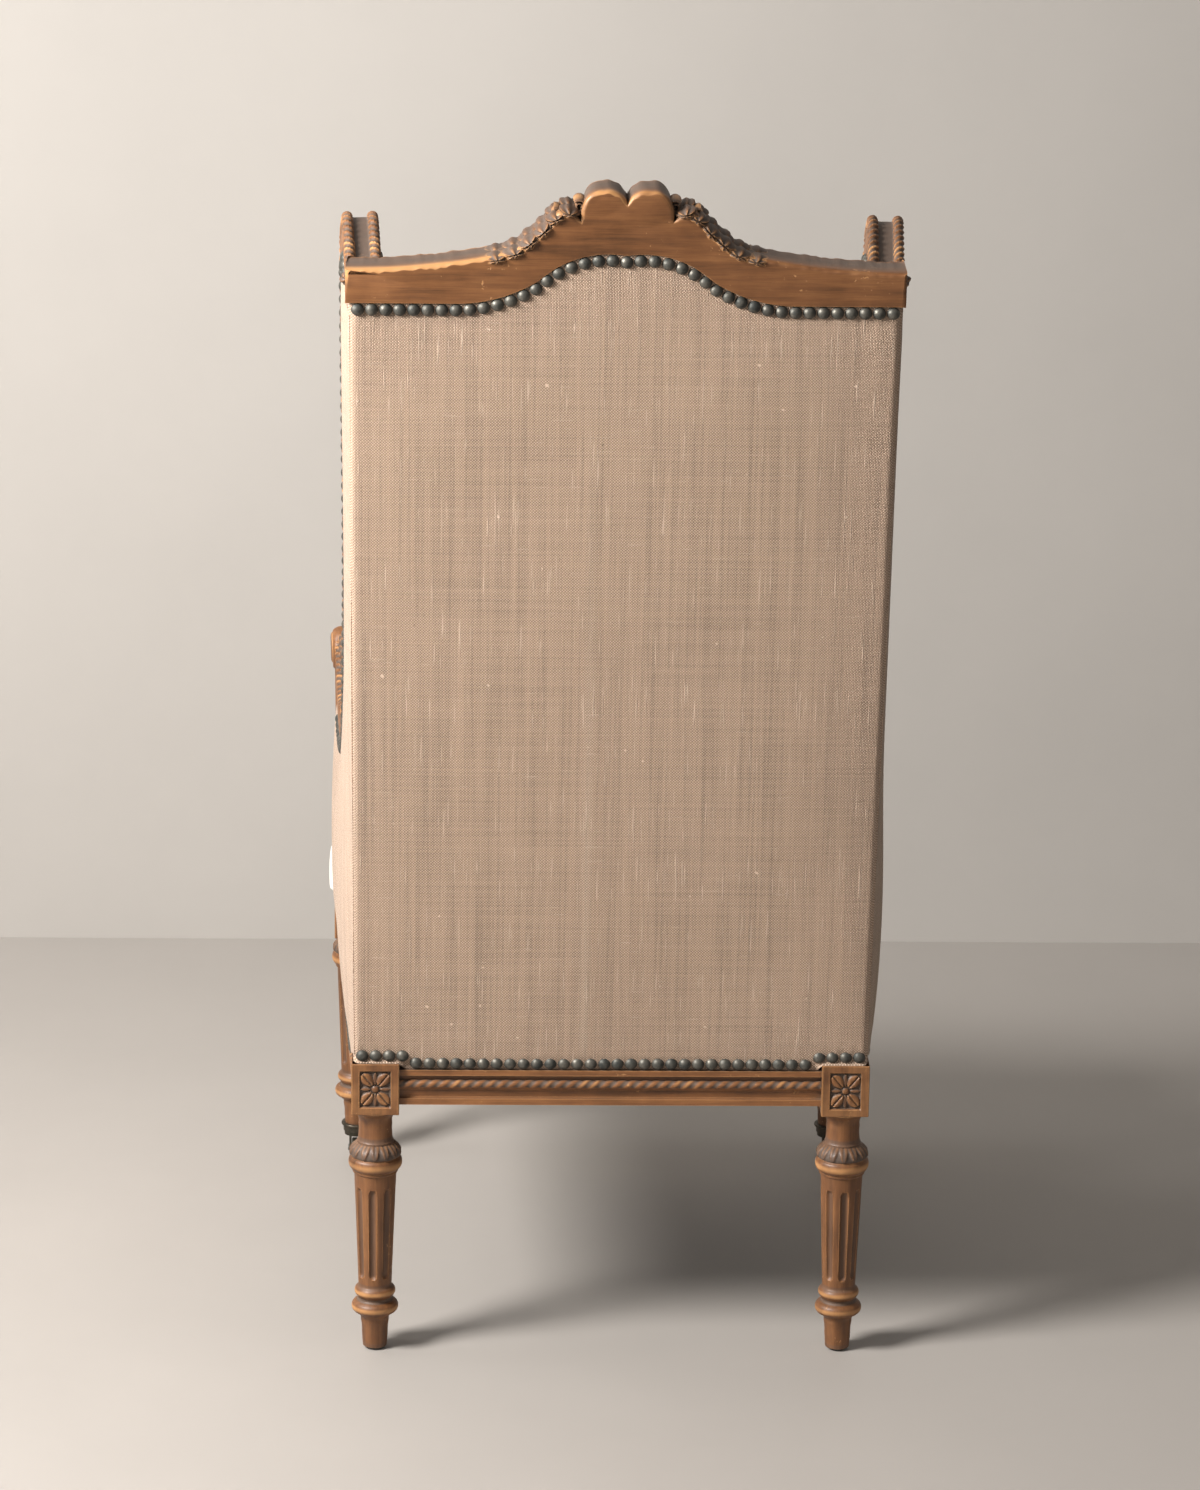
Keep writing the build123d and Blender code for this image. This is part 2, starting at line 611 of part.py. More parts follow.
def rear_seat_rail():
    """Rear rail between the rear blocks; its tongue follows the rake behind the linen."""
    face = rear_rail_face()
    low = face - back_y(RAIL_EXPOSED_TOP, LINEN + COVER_GAP)
    high = face - back_y(RAIL_TOP, LINEN + COVER_GAP)
    end = REAR_X - BLOCK / 2
    section = Plane(origin=(-end, face, 0), x_dir=(0, 1, 0), z_dir=(1, 0, 0)) * rail_profile(low, high)
    rail = extrude(section, 2 * end)
    tenon = cross_tenon(end, face - RAIL_THICK / 2)
    return rail + tenon + mirrored(tenon)


def front_seat_rail():
    """Front rail between the front blocks."""
    face = front_rail_face()
    tongue = BACK_SETBACK - RAIL_SETBACK + LINEN + COVER_GAP
    end = FRONT_X - BLOCK / 2
    section = Plane(origin=(end, face, 0), x_dir=(0, -1, 0), z_dir=(-1, 0, 0)) * rail_profile(tongue, tongue)
    rail = extrude(section, 2 * end)
    tenon = cross_tenon(end, face + RAIL_THICK / 2)
    return rail + tenon + mirrored(tenon)


def side_seat_rail():
    """Left rail, along the flare between the left blocks."""
    tongue = LINEN_RECESS + LINEN + COVER_GAP - SIDE_RAIL_SETBACK
    start = Vector(SIDE_X, REAR_Y, 0) - SIDE_OUT * SIDE_RAIL_SETBACK
    section = Plane(origin=start, x_dir=SIDE_OUT, z_dir=SIDE_FORWARD) * rail_profile(tongue, tongue)
    rail = extrude(section, LEG_DEPTH / cos(FLARE))
    rail &= box_between((0, FRONT_Y + BLOCK / 2, 0), (2 * SIDE_X, REAR_Y - BLOCK / 2, 2 * RAIL_TOP))
    return rail + side_tenon(REAR_Y - BLOCK / 2, 1) + side_tenon(FRONT_Y + BLOCK / 2, -1)


def inner_side_x(y):
    """Inner face of the left seat rail at a depth."""
    return side_x(y) - (SIDE_RAIL_SETBACK + RAIL_THICK) / cos(FLARE)


def corner_outline(leg_x, leg_y, rail_y, toward):
    """Plan of a corner block: it fills the corner between two rails and the leg's block."""
    block_x = leg_x - BLOCK / 2
    block_y = leg_y + toward * BLOCK / 2
    far_y = block_y + toward * CORNER_BLOCK_LEG
    return [
        (block_x - CORNER_BLOCK_LEG, rail_y),
        (block_x, rail_y),
        (block_x, block_y),
        (inner_side_x(block_y), block_y),
        (inner_side_x(far_y), far_y),
    ]


def left_corner_outlines():
    rear = corner_outline(REAR_X, REAR_Y, rear_rail_face() - RAIL_THICK, -1)
    front = corner_outline(FRONT_X, FRONT_Y, front_rail_face() + RAIL_THICK, 1)
    return rear, front


def corner_blocks():
    """A glued block in each corner of the seat frame."""
    bottom = RAIL_BOTTOM + CORNER_BLOCK_DROP
    blocks = [prism(outline, bottom, bottom + CORNER_BLOCK_HEIGHT) for outline in left_corner_outlines()]
    return blocks + mirrored(blocks)


def corner_block_screws():
    """One screw through each corner block into its leg."""
    screws = []
    height = RAIL_BOTTOM + CORNER_BLOCK_DROP + CORNER_BLOCK_HEIGHT / 2
    for outline in left_corner_outlines():
        (ax, ay), (bx, by) = outline[0], outline[-1]
        start = Vector((ax + bx) / 2, (ay + by) / 2, height)
        corner = Vector(outline[2][0], outline[2][1], height)
        along = Plane(origin=start, z_dir=corner - start)
        screw = Solid.make_cylinder(SCREW_DIAMETER / 2, SCREW_LENGTH, along)
        head_plane = along.offset(-SCREW_HEAD_THICK)
        screw += Solid.make_cylinder(SCREW_HEAD_DIAMETER / 2, SCREW_HEAD_THICK, head_plane)
        screws += [screw, mirrored(screw)]
    return screws


# Back

def crest_edge(drop=0.0):
    """Lower edge of the crest rail's face from right to left, lowered by a distance: flat, arch, flat."""
    half, top = CREST_HALF_WIDTH, CREST_EDGE_HEIGHT - drop
    bend = CREST_ARCH_HALF / 2
    middle = top + CREST_ARCH_RISE / 2
    swell = CREST_ARCH_RISE * 0.13
    return [
        (-half, top, 0),
        (-CREST_ARCH_HALF, top, 0),
        (-bend, middle, swell),
        (0, top + CREST_ARCH_RISE, -swell * 1.6),
        (bend, middle, -swell * 1.6),
        (CREST_ARCH_HALF, top, swell),
        (half, top, 0),
    ]


def crest_top():
    """Upper edge of the crest rail from left to right: sweep, leaves, scrolls and two lobes."""
    left = [
        (CREST_HALF_WIDTH, CREST_END_HEIGHT, 0),
        (SHOULDER_X, SHOULDER_HEIGHT, -4.0),
        (LEAF_X, LEAF_HEIGHT, -1.5),
        (SCROLL_X, SCROLL_HEIGHT, 1.8),
        (NOTCH_X, NOTCH_HEIGHT, 2.5),
        (LOBE_SIDE_X, LOBE_SIDE_HEIGHT, 1.0),
        (LOBE_TOP_X, LOBE_TOP_HEIGHT, 4.0),
        (0, CENTRE_NOTCH_HEIGHT, 4.5),
    ]
    right = [(-x, height, -bulge) for x, height, bulge in backward(left)[1:]]
    return left + right


def crest_rail():
    """Crest rail: the carved board and, behind the linen, the tongue that takes its nails."""
    edge = crest_edge()
    outline = edge + crest_top() + [edge[0]]
    board = slab(make_face(outline_edges(outline)), BACK, CREST_PROUD, -CREST_THICK)
    inset = CREST_HALF_WIDTH - SIDE_X + LINEN_RECESS + LINEN + STILE_SIDE_GAP
    low = shortened(crest_edge(CREST_TONGUE), inset)
    high = backward(shortened(crest_edge(-1), inset))
    depth = LINEN + COVER_GAP
    outline = make_face(outline_edges(low + high + [low[0]]))
    tongue = slab(outline, BACK, -depth, depth + CREST_PROUD - CREST_THICK)
    return board + tongue


def shortened(edge, inset):
    """An edge line of the crest rail, cut short at both ends."""
    (x0, y0, _), (x1, y1, _) = edge[0], edge[-1]
    return [(x0 + inset, y0, 0)] + edge[1:-1] + [(x1 - inset, y1, 0)]


def backward(points):
    """The same outline points walked the other way."""
    turned_round = list(reversed(points))
    bulges = [0] + [-bulge for _, _, bulge in turned_round[:-1]]
    return [(x, y, bulge) for (x, y, _), bulge in zip(turned_round, bulges)]


def back_half_width(height):
    """Half the width of the linen back, between the outsides of the side panels."""
    place = BACK.from_local_coords((0, height, 0))
    return side_x(place.Y, place.Z) - LINEN_RECESS


def outside_back_panel():
    """Linen back: from the rear rail and blocks up to the crest rail, round the rear corners."""
    block = REAR_X - BLOCK / 2
    low = (REAR_BLOCK_TOP - RAIL_EXPOSED_TOP) / cos(RAKE) + COVER_GAP
    top = [(x, y, bulge) for x, y, bulge in crest_edge(COVER_GAP)]
    wide = back_half_width(CREST_EDGE_HEIGHT)
    top[0] = (-wide, top[0][1], 0)
    top[-1] = (wide, top[-1][1], 0)
    foot = back_half_width(0)
    bottom = [
        (foot, low, 0),
        (block, low, 0),
        (block, COVER_GAP, 0),
        (-block, COVER_GAP, 0),
        (-block, low, 0),
        (-foot, low, 0),
        top[0],
    ]
    return slab(make_face(outline_edges(top + bottom)), BACK, 0, -LINEN)


def back_tack_rail():
    """Rail between the stiles, above the seat, that the back's webbing and covers are tacked to."""
    low = RAIL_TOP - RAIL_EXPOSED_TOP + BACK_TACK_RAIL_LIFT
    half = stile_outer(low) - STILE_WIDTH - COVER_GAP
    outline = Pos(0, low + BACK_TACK_RAIL_HEIGHT / 2) * Rectangle(2 * half, BACK_TACK_RAIL_HEIGHT)
    start = LINEN + COVER_GAP
    return slab(outline, BACK, -start, start - LINEN - STILE_THICK - WEB_THICK)


def back_webbing():
    """Straps across the stiles and, in front of them, straps from the tack rail to the crest rail."""
    low = RAIL_TOP - RAIL_EXPOSED_TOP + BACK_TACK_RAIL_LIFT
    high = CREST_EDGE_HEIGHT - CREST_TONGUE
    half = side_x(REAR_Y) - LINEN_RECESS - LINEN - STILE_SIDE_GAP - STILE_WIDTH / 2
    across_depth = LINEN + STILE_THICK
    straps = []
    span = high - low - BACK_TACK_RAIL_HEIGHT
    for k in range(BACK_WEB_ACROSS):
        height = low + BACK_TACK_RAIL_HEIGHT + span * (k + 0.5) / BACK_WEB_ACROSS
        strap = Pos(0, height) * Rectangle(2 * half, WEB_WIDTH)
        straps.append(slab(strap, BACK, -across_depth, -WEB_THICK))
    for k in range(BACK_WEB_ALONG):
        x = (k - (BACK_WEB_ALONG - 1) / 2) * half * 0.52
        strap = Pos(x, (low + high + CREST_TONGUE) / 2) * Rectangle(WEB_WIDTH, high + CREST_TONGUE - low)
        straps.append(slab(strap, BACK, -across_depth - WEB_THICK, -WEB_THICK))
    return straps


def crowned(outline, plane, start, crown, radius):
    """A padded cover: a flat border that is nailed down, and a crowned middle with drawn-in sides.

    The outline is a function that draws the cover's edge, moved inward by a distance.
    """
    border = slab(outline(0.0), plane, start, PAD_BORDER_THICK)
    middle = outline(PAD_BORDER)
    body = extrude(plane.offset(start) * middle, PAD_BORDER_THICK + crown, taper=PAD_TAPER_DEG)
    if plane.to_local_coords(body.center()).Z < start:
        body = body.mirror(plane.offset(start))
    centre = middle.center()
    top = plane.from_local_coords((centre.X, centre.Y, start + PAD_BORDER_THICK + crown - radius))
    dome = Pos(*top) * Sphere(radius)
    return border + (body & dome)


def back_pad_outline(inset):
    """Edge of the inside back: straight sides, and a top that follows the crest rail's arch."""
    low = (CUSHION_BOTTOM - RAIL_EXPOSED_TOP) / cos(RAKE) + inset
    half = BACK_PAD_HALF_WIDTH - inset
    edge = crest_edge(inset - BACK_PAD_OVERLAP)
    top = [(-half, edge[1][1], 0)] + edge[1:-1] + [(half, edge[-1][1], 0)]
    bottom = [(half, low, 0), (-half, low, 0), top[0]]
    return make_face(outline_edges(top + bottom))


def inside_back_pad():
    """White inside back, from the seat deck up over the crest rail's lower edge."""
    inward = Plane(origin=BACK.origin, x_dir=-BACK.x_dir, z_dir=-BACK.z_dir)
    return crowned(back_pad_outline, inward, WEB_FRONT + PAD_GAP, BACK_PAD_CROWN, BACK_CROWN_RADIUS)


# Sides

def slope(first, last):
    """Angle of the way from one point to another."""
    return atan2(last[1] - first[1], last[0] - first[0])


def side_path():
    """Outer edge of the show-wood: up from the crest over the ear, down the wing and along the arm."""
    points = [WING_START, EAR_TOP, EAR_FRONT, WING_WAIST, ARM_BEND, ARM_LOW, ARM_END]
    into_bend = slope(WING_WAIST, ARM_BEND)
    along_arm = slope(ARM_BEND, ARM_LOW)
    out_of_low = slope(ARM_LOW, ARM_END)
    reach = tan((along_arm - into_bend) / 2) + tan((out_of_low - along_arm) / 2)
    arm_radius = ARM_BEND_TIGHTNESS * dist(ARM_BEND, ARM_LOW) / reach
    return FilletPolyline(*points, radius=[*WING_RADII, arm_radius, arm_radius])


def side_band(inner, outer=0.0):
    """Face between two distances inside the show-wood's outer edge."""
    path = side_path().wire()
    band = make_face(path.offset_2d(inner, side=Side.RIGHT).edges())
    if outer:
        band -= make_face(path.offset_2d(outer, side=Side.RIGHT).edges())
    return band


def behind(depth):
    """Everything in the side frame behind a plane that lies deeper in the back."""
    high, low = 1200.0, -200.0
    return make_face(Polyline(
        (back_line(depth, low), low),
        (back_line(depth, high), high),
        (back_line(depth, high) - 600, high),
        (back_line(depth, low) - 600, low),
        close=True,
    ))


def above(height):
    """Everything in the side frame above a height."""
    return Pos(0, height + FIELD / 2) * Rectangle(FIELD, FIELD)


def back_space(depth, low=-FIELD / 2):
    """Everything behind a plane that lies deeper in the back, above a height up the rake."""
    return slab(Pos(0, low + FIELD / 2) * Rectangle(FIELD, FIELD), BACK, -depth, FIELD / 2)


def knuckle(room=0.0):
    """Round end of the arm."""
    path = side_path().wire()
    end, way = path @ 1, path % 1
    centre = Pos(end.X + way.Y * SHOW_WOOD_WIDTH / 2, end.Y - way.X * SHOW_WOOD_WIDTH / 2)
    return centre * Circle(KNUCKLE_DIAMETER / 2 + room)


def show_wood():
    """Left show-wood in one piece: two beads with a sunk channel between them, and the nailing tongue."""
    full = side_band(SHOW_WOOD_WIDTH)
    sunk = side_band(SHOW_WOOD_WIDTH, SHOW_WOOD_CHANNEL)
    tongue = side_band(SHOW_WOOD_WIDTH + SHOW_WOOD_TONGUE, SHOW_WOOD_WIDTH - 1) - post_face()
    inner_bead = SHOW_WOOD_THICK - SHOW_WOOD_BEAD
    tongue_start = LINEN_RECESS + LINEN + COVER_GAP
    wood = slab(full, SIDE, 0, SHOW_WOOD_BEAD)
    wood += slab(sunk, SIDE, SHOW_WOOD_BEAD, inner_bead - SHOW_WOOD_BEAD)
    wood += slab(full, SIDE, inner_bead, SHOW_WOOD_BEAD)
    wood += slab(tongue, SIDE, tongue_start, PAD_FACE - PAD_GAP - tongue_start)
    return wood - back_space(CREST_THICK - CREST_PROUD + COVER_GAP)


def wing_rail():
    """Left ear and wing, down to its joint with the arm."""
    return show_wood() & slab(above(WING_JOINT_HEIGHT), SIDE, -10, SHOW_WOOD_THICK + 20)


def arm_rail():
    """Left arm, from the joint to the round carved end."""
    arm = show_wood() - slab(above(WING_JOINT_HEIGHT), SIDE, -10, SHOW_WOOD_THICK + 20)
    end = slab(knuckle(), SIDE, -KNUCKLE_PROUD, SHOW_WOOD_THICK + 2 * KNUCKLE_PROUD)
    return arm + end


def post_face(room=0.0):
    """Side outline of the arm post."""
    path = FilletPolyline(POST_TOP, POST_WAIST, POST_FOOT, radius=POST_RADIUS).wire()
    right = path.offset_2d(POST_WIDTH / 2 + room, side=Side.RIGHT)
    left = path.offset_2d(POST_WIDTH / 2 + room, side=Side.LEFT)
    return make_face(right.edges()) + make_face(left.edges())


def arm_post():
    """Left arm post, from the seat rail up to the arm."""
    post = slab(post_face(), SIDE, 0, SHOW_WOOD_THICK)
    post -= slab(above(-FIELD), SIDE, -10, SHOW_WOOD_THICK + 20)
    return post - arm_rail()


def side_opening(depth, low, room):
    """Outline that the show-wood, the post and the back enclose, above a height, less some room at the wood."""
    path = side_path().wire()
    field = make_face(
        path.edges()
        + [
            Line(ARM_END, (ARM_END[0], low)),
            Line((ARM_END[0], low), (back_line(depth, low), low)),
            Line((back_line(depth, low), low), (back_line(depth, WING_START[1]), WING_START[1])),
            Line((back_line(depth, WING_START[1]), WING_START[1]), WING_START),
        ]
    )
    return largest(field - side_band(SHOW_WOOD_WIDTH + room) - knuckle(room) - post_face(room))


def outside_side_panel():
    """Linen on the outside of the left wing and arm."""
    low = RAIL_EXPOSED_TOP - RAIL_TOP + COVER_GAP
    outline = side_opening(LINEN, low, COVER_GAP)
    panel = slab(outline, SIDE, LINEN_RECESS, LINEN)
    panel -= back_space(LINEN + COVER_GAP)
    panel -= back_space(CREST_THICK - CREST_PROUD + COVER_GAP, CREST_EDGE_HEIGHT - COVER_GAP)
    return panel - rear_leg_space()


def rear_leg_space():
    """Room for the left rear block below the covers."""
    half = BLOCK / 2 + COVER_GAP
    return Pos(REAR_X, REAR_Y, 0) * box_between((-half, -half, 0), (half, half, REAR_BLOCK_TOP + COVER_GAP))


def side_pad_outline(inset):
    """Edge of the inside covers of the wing and the arm together."""
    return side_opening(WEB_FRONT + PAD_GAP + inset, SIDE_PAD_LIFT + inset, PAD_GAP + inset)


def wing_pad_outline(inset):
    return largest(side_pad_outline(inset) & above(PAD_SPLIT_HEIGHT + PAD_GAP + inset))


def arm_pad_outline(inset):
    return largest(side_pad_outline(inset) - above(PAD_SPLIT_HEIGHT - inset))


def inside_wing_pad():
    """White pad on the inside of the left wing."""
    return crowned(wing_pad_outline, SIDE, PAD_FACE, SIDE_PAD_CROWN, SIDE_CROWN_RADIUS)


def inside_arm_pad():
    """White pad on the inside of the left arm."""
    return crowned(arm_pad_outline, SIDE, PAD_FACE, SIDE_PAD_CROWN, SIDE_CROWN_RADIUS)


def side_tack_rail():
    """Rail above the left seat rail, from the stile to the arm post."""
    outline = Pos(200, SIDE_TACK_RAIL_LIFT + SIDE_TACK_RAIL_HEIGHT / 2) * Rectangle(700, SIDE_TACK_RAIL_HEIGHT)
    outline = largest(outline - behind(LINEN + STILE_THICK + COVER_GAP) - post_face(COVER_GAP))
    start = LINEN_RECESS + LINEN + COVER_GAP
    return slab(outline, SIDE, start, SIDE_TACK_RAIL_THICK)


# Seat

def pad_inner_x(y):
    """X of the inner side of the left arm pad at a depth, on the seat."""
    return side_x(y, CUSHION_BOTTOM) - (PAD_INNER + PAD_GAP) / cos(FLARE)


def seat_webbing():
    """Straps from the front rail to the rear rail and, on them, straps from side to side."""
    straps = []
    front, rear = front_rail_face() + RAIL_THICK / 3, rear_rail_face() - RAIL_THICK * 0.7
    reach = REAR_X - BLOCK - WEB_WIDTH / 2
    for k in range(SEAT_WEB_ALONG):
        x = reach * (2 * k / (SEAT_WEB_ALONG - 1) - 1)
        left, right = x + WEB_WIDTH / 2, x - WEB_WIDTH / 2
        straps.append(box_between((right, front, RAIL_TOP), (left, rear, RAIL_TOP + WEB_THICK)))
    first = FRONT_Y + BLOCK / 2 + 4
    last = REAR_Y - BLOCK / 2 - 4 - WEB_WIDTH
    for k in range(SEAT_WEB_ACROSS):
        y = first + (last - first) * k / (SEAT_WEB_ACROSS - 1)
        half = inner_side_x(y + WEB_WIDTH) + WEB_LAP
        low = RAIL_TOP + WEB_THICK
        straps.append(box_between((-half, y, low), (half, y + WEB_WIDTH, low + WEB_THICK)))
    return straps


def deck_plan(inset=0.0):
    """Plan of the seat: between the arm pads, and as wide as the frame in front of the arm posts."""
    front = FRONT_Y - DECK_FRONT_OVERHANG + inset
    step = FRONT_Y + DECK_EAR_DEPTH - inset
    rear = back_y(DECK_BOTTOM, WEB_FRONT + PAD_GAP) - inset
    ear = side_x(FRONT_Y) + DECK_SIDE_OVERHANG - inset
    half = [
        (ear, front),
        (ear, step),
        (pad_inner_x(step) - inset, step),
        (pad_inner_x(rear) - inset, rear),
    ]
    return half + [(-x, y) for x, y in reversed(half)]


def seat_hessian():
    """Hessian over the webbing."""
    return prism(deck_plan(DECK_EDGE_RADIUS), DECK_BOTTOM - HESSIAN, DECK_BOTTOM)


def seat_deck():
    """Stuffed white platform with rounded edges, wider in front of the arm posts."""
    deck = prism(deck_plan(), DECK_BOTTOM, DECK_TOP)
    front = FRONT_Y + DECK_EAR_DEPTH + 1
    upright = deck.edges().filter_by(Axis.Z).filter_by(lambda edge: edge.center().Y < front)
    deck = fillet(upright, DECK_EDGE_RADIUS)
    top = deck.faces().sort_by(Axis.Z)[-1].edges()
    return fillet(top, DECK_EDGE_RADIUS)


def front_border():
    """White strip over the front rail's tongue, under the deck's edge."""
    half = FRONT_X - BLOCK / 2 - COVER_GAP
    face = front_rail_face() + BACK_SETBACK - RAIL_SETBACK
    return box_between(
        (-half, face, RAIL_EXPOSED_TOP + COVER_GAP), (half, face + LINEN, DECK_BOTTOM - HESSIAN - COVER_GAP)
    )


def cushion_outline(inset):
    """Plan of the loose cushion: sides drawn in between full corners."""
    front = FRONT_Y - CUSHION_FRONT_OVERHANG + inset
    rear = back_y(CUSHION_BOTTOM, WEB_FRONT + 2 * PAD_GAP + PAD_BORDER_THICK + BACK_PAD_CROWN)
    rear -= CUSHION_BACK_GAP + inset
    wide_front = pad_inner_x(front) - CUSHION_SIDE_GAP - inset
    wide_rear = pad_inner_x(rear) - CUSHION_SIDE_GAP - inset
    draw = -CUSHION_SIDE_DRAW
    points = [
        (wide_front, front, 0),
        (wide_rear, rear, draw),
        (-wide_rear, rear, draw),
        (-wide_front, front, draw),
        (wide_front, front, draw),
    ]
    return make_face(outline_edges(points))


def seat_cushion():
    """Loose white cushion: crowned top, sides that swell to a middle line and draw in between the corners."""
    edge = CUSHION_HEIGHT * CUSHION_EDGE_SHARE
    levels = [
        (0, CUSHION_EDGE_INSET),
        (edge, 0),
        (CUSHION_HEIGHT - edge, 0),
        (CUSHION_HEIGHT, CUSHION_EDGE_INSET),
    ]
    body = loft([Pos(0, 0, CUSHION_BOTTOM + z) * cushion_outline(inset) for z, inset in levels])
    middle = body.center()
    top = CUSHION_BOTTOM + CUSHION_HEIGHT - CUSHION_CROWN_RADIUS
    return body & (Pos(middle.X, middle.Y, top) * Sphere(CUSHION_CROWN_RADIUS))


def dust_cover():
    """Thin black cloth tacked under the rails, cut out round the legs."""
    front, rear = front_rail_face() + DUST_COVER_INSET, rear_rail_face() - DUST_COVER_INSET
    inset = SIDE_RAIL_SETBACK + DUST_COVER_INSET
    half = [(side_x(front) - inset, front), (side_x(rear) - inset, rear)]
    cloth = prism(half + [(-x, y) for x, y in reversed(half)], RAIL_BOTTOM - DUST_COVER, RAIL_BOTTOM)
    room = BLOCK / 2 + 1
    for x, y in ((REAR_X, REAR_Y), (FRONT_X, FRONT_Y)):
        leg = Pos(x, y, 0) * box_between((-room, -room, 0), (room, room, RAIL_TOP))
        cloth = cloth - leg - mirrored(leg)
    return cloth


# Nails

def nail(place):
    """Domed nail: its head stands on a place's plane and its shank goes in."""
    head = NAIL_DIAMETER / 2
    shank = NAIL_SHANK / 2
    chord_squared = head ** 2 + NAIL_HEIGHT ** 2
    ball = chord_squared / (2 * NAIL_HEIGHT)
    dome = ball - (ball ** 2 - chord_squared / 4) ** 0.5
    points = [
        (0, -NAIL_SHANK_LENGTH, 0),
        (shank, -NAIL_SHANK_LENGTH, 0),
        (shank, 0, 0),
        (head, 0, 0),
        (0, NAIL_HEIGHT, dome),
        (0, -NAIL_SHANK_LENGTH, 0),
    ]
    section = Plane(origin=place.origin, x_dir=place.x_dir, z_dir=-place.y_dir)
    return revolve(section * make_face(outline_edges(points)), Axis(place.origin, place.z_dir))


def nails_at(points, plane, lift):
    """A nail at each point of a frame, standing out of the frame's plane."""
    places = [plane.from_local_coords((x, y, lift)) for x, y in points]
    return [nail(Plane(origin=place, x_dir=plane.x_dir, z_dir=plane.z_dir)) for place in places]


def row(wire, start=0.0, end=None):
    """Evenly spaced points along a wire, close to one nail pitch apart."""
    length = wire.length
    end = length if end is None else end
    count = max(1, round((end - start) / NAIL_PITCH))
    places = [(start + (end - start) * k / count) / length for k in range(count + 1)]
    return [(p.X, p.Y) for p in (wire @ place for place in places)]


def back_top_nails():
    """Row under the crest rail's lower edge."""
    edge = crest_edge(NAIL_EDGE)
    wide = back_half_width(CREST_EDGE_HEIGHT) - NAIL_EDGE - 1
    edge = [(-wide, edge[0][1], 0)] + edge[1:-1] + [(wide, edge[-1][1], 0)]
    return nails_at(row(Wire(outline_edges(edge))), BACK, 0)


def back_bottom_nails():
    """Row along the rear rail, a step higher over the blocks."""
    block = REAR_X - BLOCK / 2
    low = NAIL_EDGE
    high = (REAR_BLOCK_TOP - RAIL_EXPOSED_TOP) / cos(RAKE) + NAIL_EDGE
    wide = back_half_width(0) - NAIL_EDGE - 1
    count = round(2 * wide / NAIL_PITCH)
    points = []
    for k in range(count + 1):
        x = wide * (2 * k / count - 1)
        points.append((x, high if abs(x) > block - NAIL_DIAMETER / 2 else low))
    return nails_at(points, BACK, 0)


OUTWARD = Plane(origin=SIDE.origin, x_dir=-SIDE.x_dir, z_dir=-SIDE.z_dir)


def outside_nails():
    """Left side: along the wing and arm, down the post and along the seat rail."""
    path = side_path().wire().offset_2d(SHOW_WOOD_WIDTH + NAIL_EDGE, side=Side.RIGHT, closed=False)
    start = CREST_THICK + LINEN
    post_line = POST_WAIST[0] - POST_WIDTH / 2 - NAIL_EDGE
    upper = [p for p in row(path, start) if p[0] < post_line - NAIL_PITCH / 2]
    low = RAIL_EXPOSED_TOP - RAIL_TOP + NAIL_EDGE
    seat = Wire([Line((BLOCK / 2 + NAIL_EDGE, low), (post_line - NAIL_PITCH / 2, low))])
    points = upper + row(seat)
    return nails_at([(-x, y) for x, y in points], OUTWARD, -LINEN_RECESS)


def inside_nails():
    """Left side, on the border of the inside covers: along the wing and the arm."""
    path = side_path().wire().offset_2d(SHOW_WOOD_WIDTH + NAIL_EDGE, side=Side.RIGHT, closed=False)
    post_line = POST_WAIST[0] - POST_WIDTH / 2 - NAIL_EDGE
    points = []
    for x, y in row(path, CREST_THICK + BACK_PAD_CROWN):
        clear_of_split = abs(y - PAD_SPLIT_HEIGHT) > NAIL_DIAMETER / 2
        if x < post_line - NAIL_PITCH / 2 and clear_of_split:
            points.append((x, y))
    return nails_at(points, SIDE, SHOW_WOOD_THICK)


def front_nails():
    """Row along the front rail."""
    half = FRONT_X - BLOCK / 2 - NAIL_EDGE
    face = front_rail_face() + BACK_SETBACK - RAIL_SETBACK
    front = Plane(origin=(0, face, RAIL_EXPOSED_TOP + NAIL_EDGE), x_dir=(1, 0, 0), z_dir=(0, -1, 0))
    return nails_at(row(Wire([Line((-half, 0), (half, 0))])), front, 0)


def pieces():
    """Every piece by name. Pairs are modelled on the sitter's left and mirrored."""
    paired = {
        "rear_leg": rear_leg(),
        "front_leg": front_leg(),
        "caster_cup": caster_cup(),
        "caster_fork": caster_fork(),
        "caster_axle": caster_axle(),
        "caster_wheel": caster_wheel(),
        "seat_rail": side_seat_rail(),
        "wing_rail": wing_rail(),
        "arm_rail": arm_rail(),
        "arm_post": arm_post(),
        "tack_rail": side_tack_rail(),
        "outside_panel": outside_side_panel(),
        "inside_wing_pad": inside_wing_pad(),
        "inside_arm_pad": inside_arm_pad(),
        "outside_nails": outside_nails(),
        "inside_nails": inside_nails(),
    }
    named = {}
    for name, shape in paired.items():
        named["left_" + name] = shape
        named["right_" + name] = mirrored(shape)
    named.update({
        "rear_glides": rear_glides(),
        "rear_seat_rail": rear_seat_rail(),
        "front_seat_rail": front_seat_rail(),
        "corner_blocks": corner_blocks(),
        "corner_block_screws": corner_block_screws(),
        "crest_rail": crest_rail(),
        "back_tack_rail": back_tack_rail(),
        "outside_back_panel": outside_back_panel(),
        "back_webbing": back_webbing(),
        "inside_back_pad": inside_back_pad(),
        "seat_webbing": seat_webbing(),
        "seat_hessian": seat_hessian(),
        "seat_deck": seat_deck(),
        "front_border": front_border(),
        "seat_cushion": seat_cushion(),
        "dust_cover": dust_cover(),
        "back_top_nails": back_top_nails(),
        "back_bottom_nails": back_bottom_nails(),
        "front_nails": front_nails(),
    })
    return named


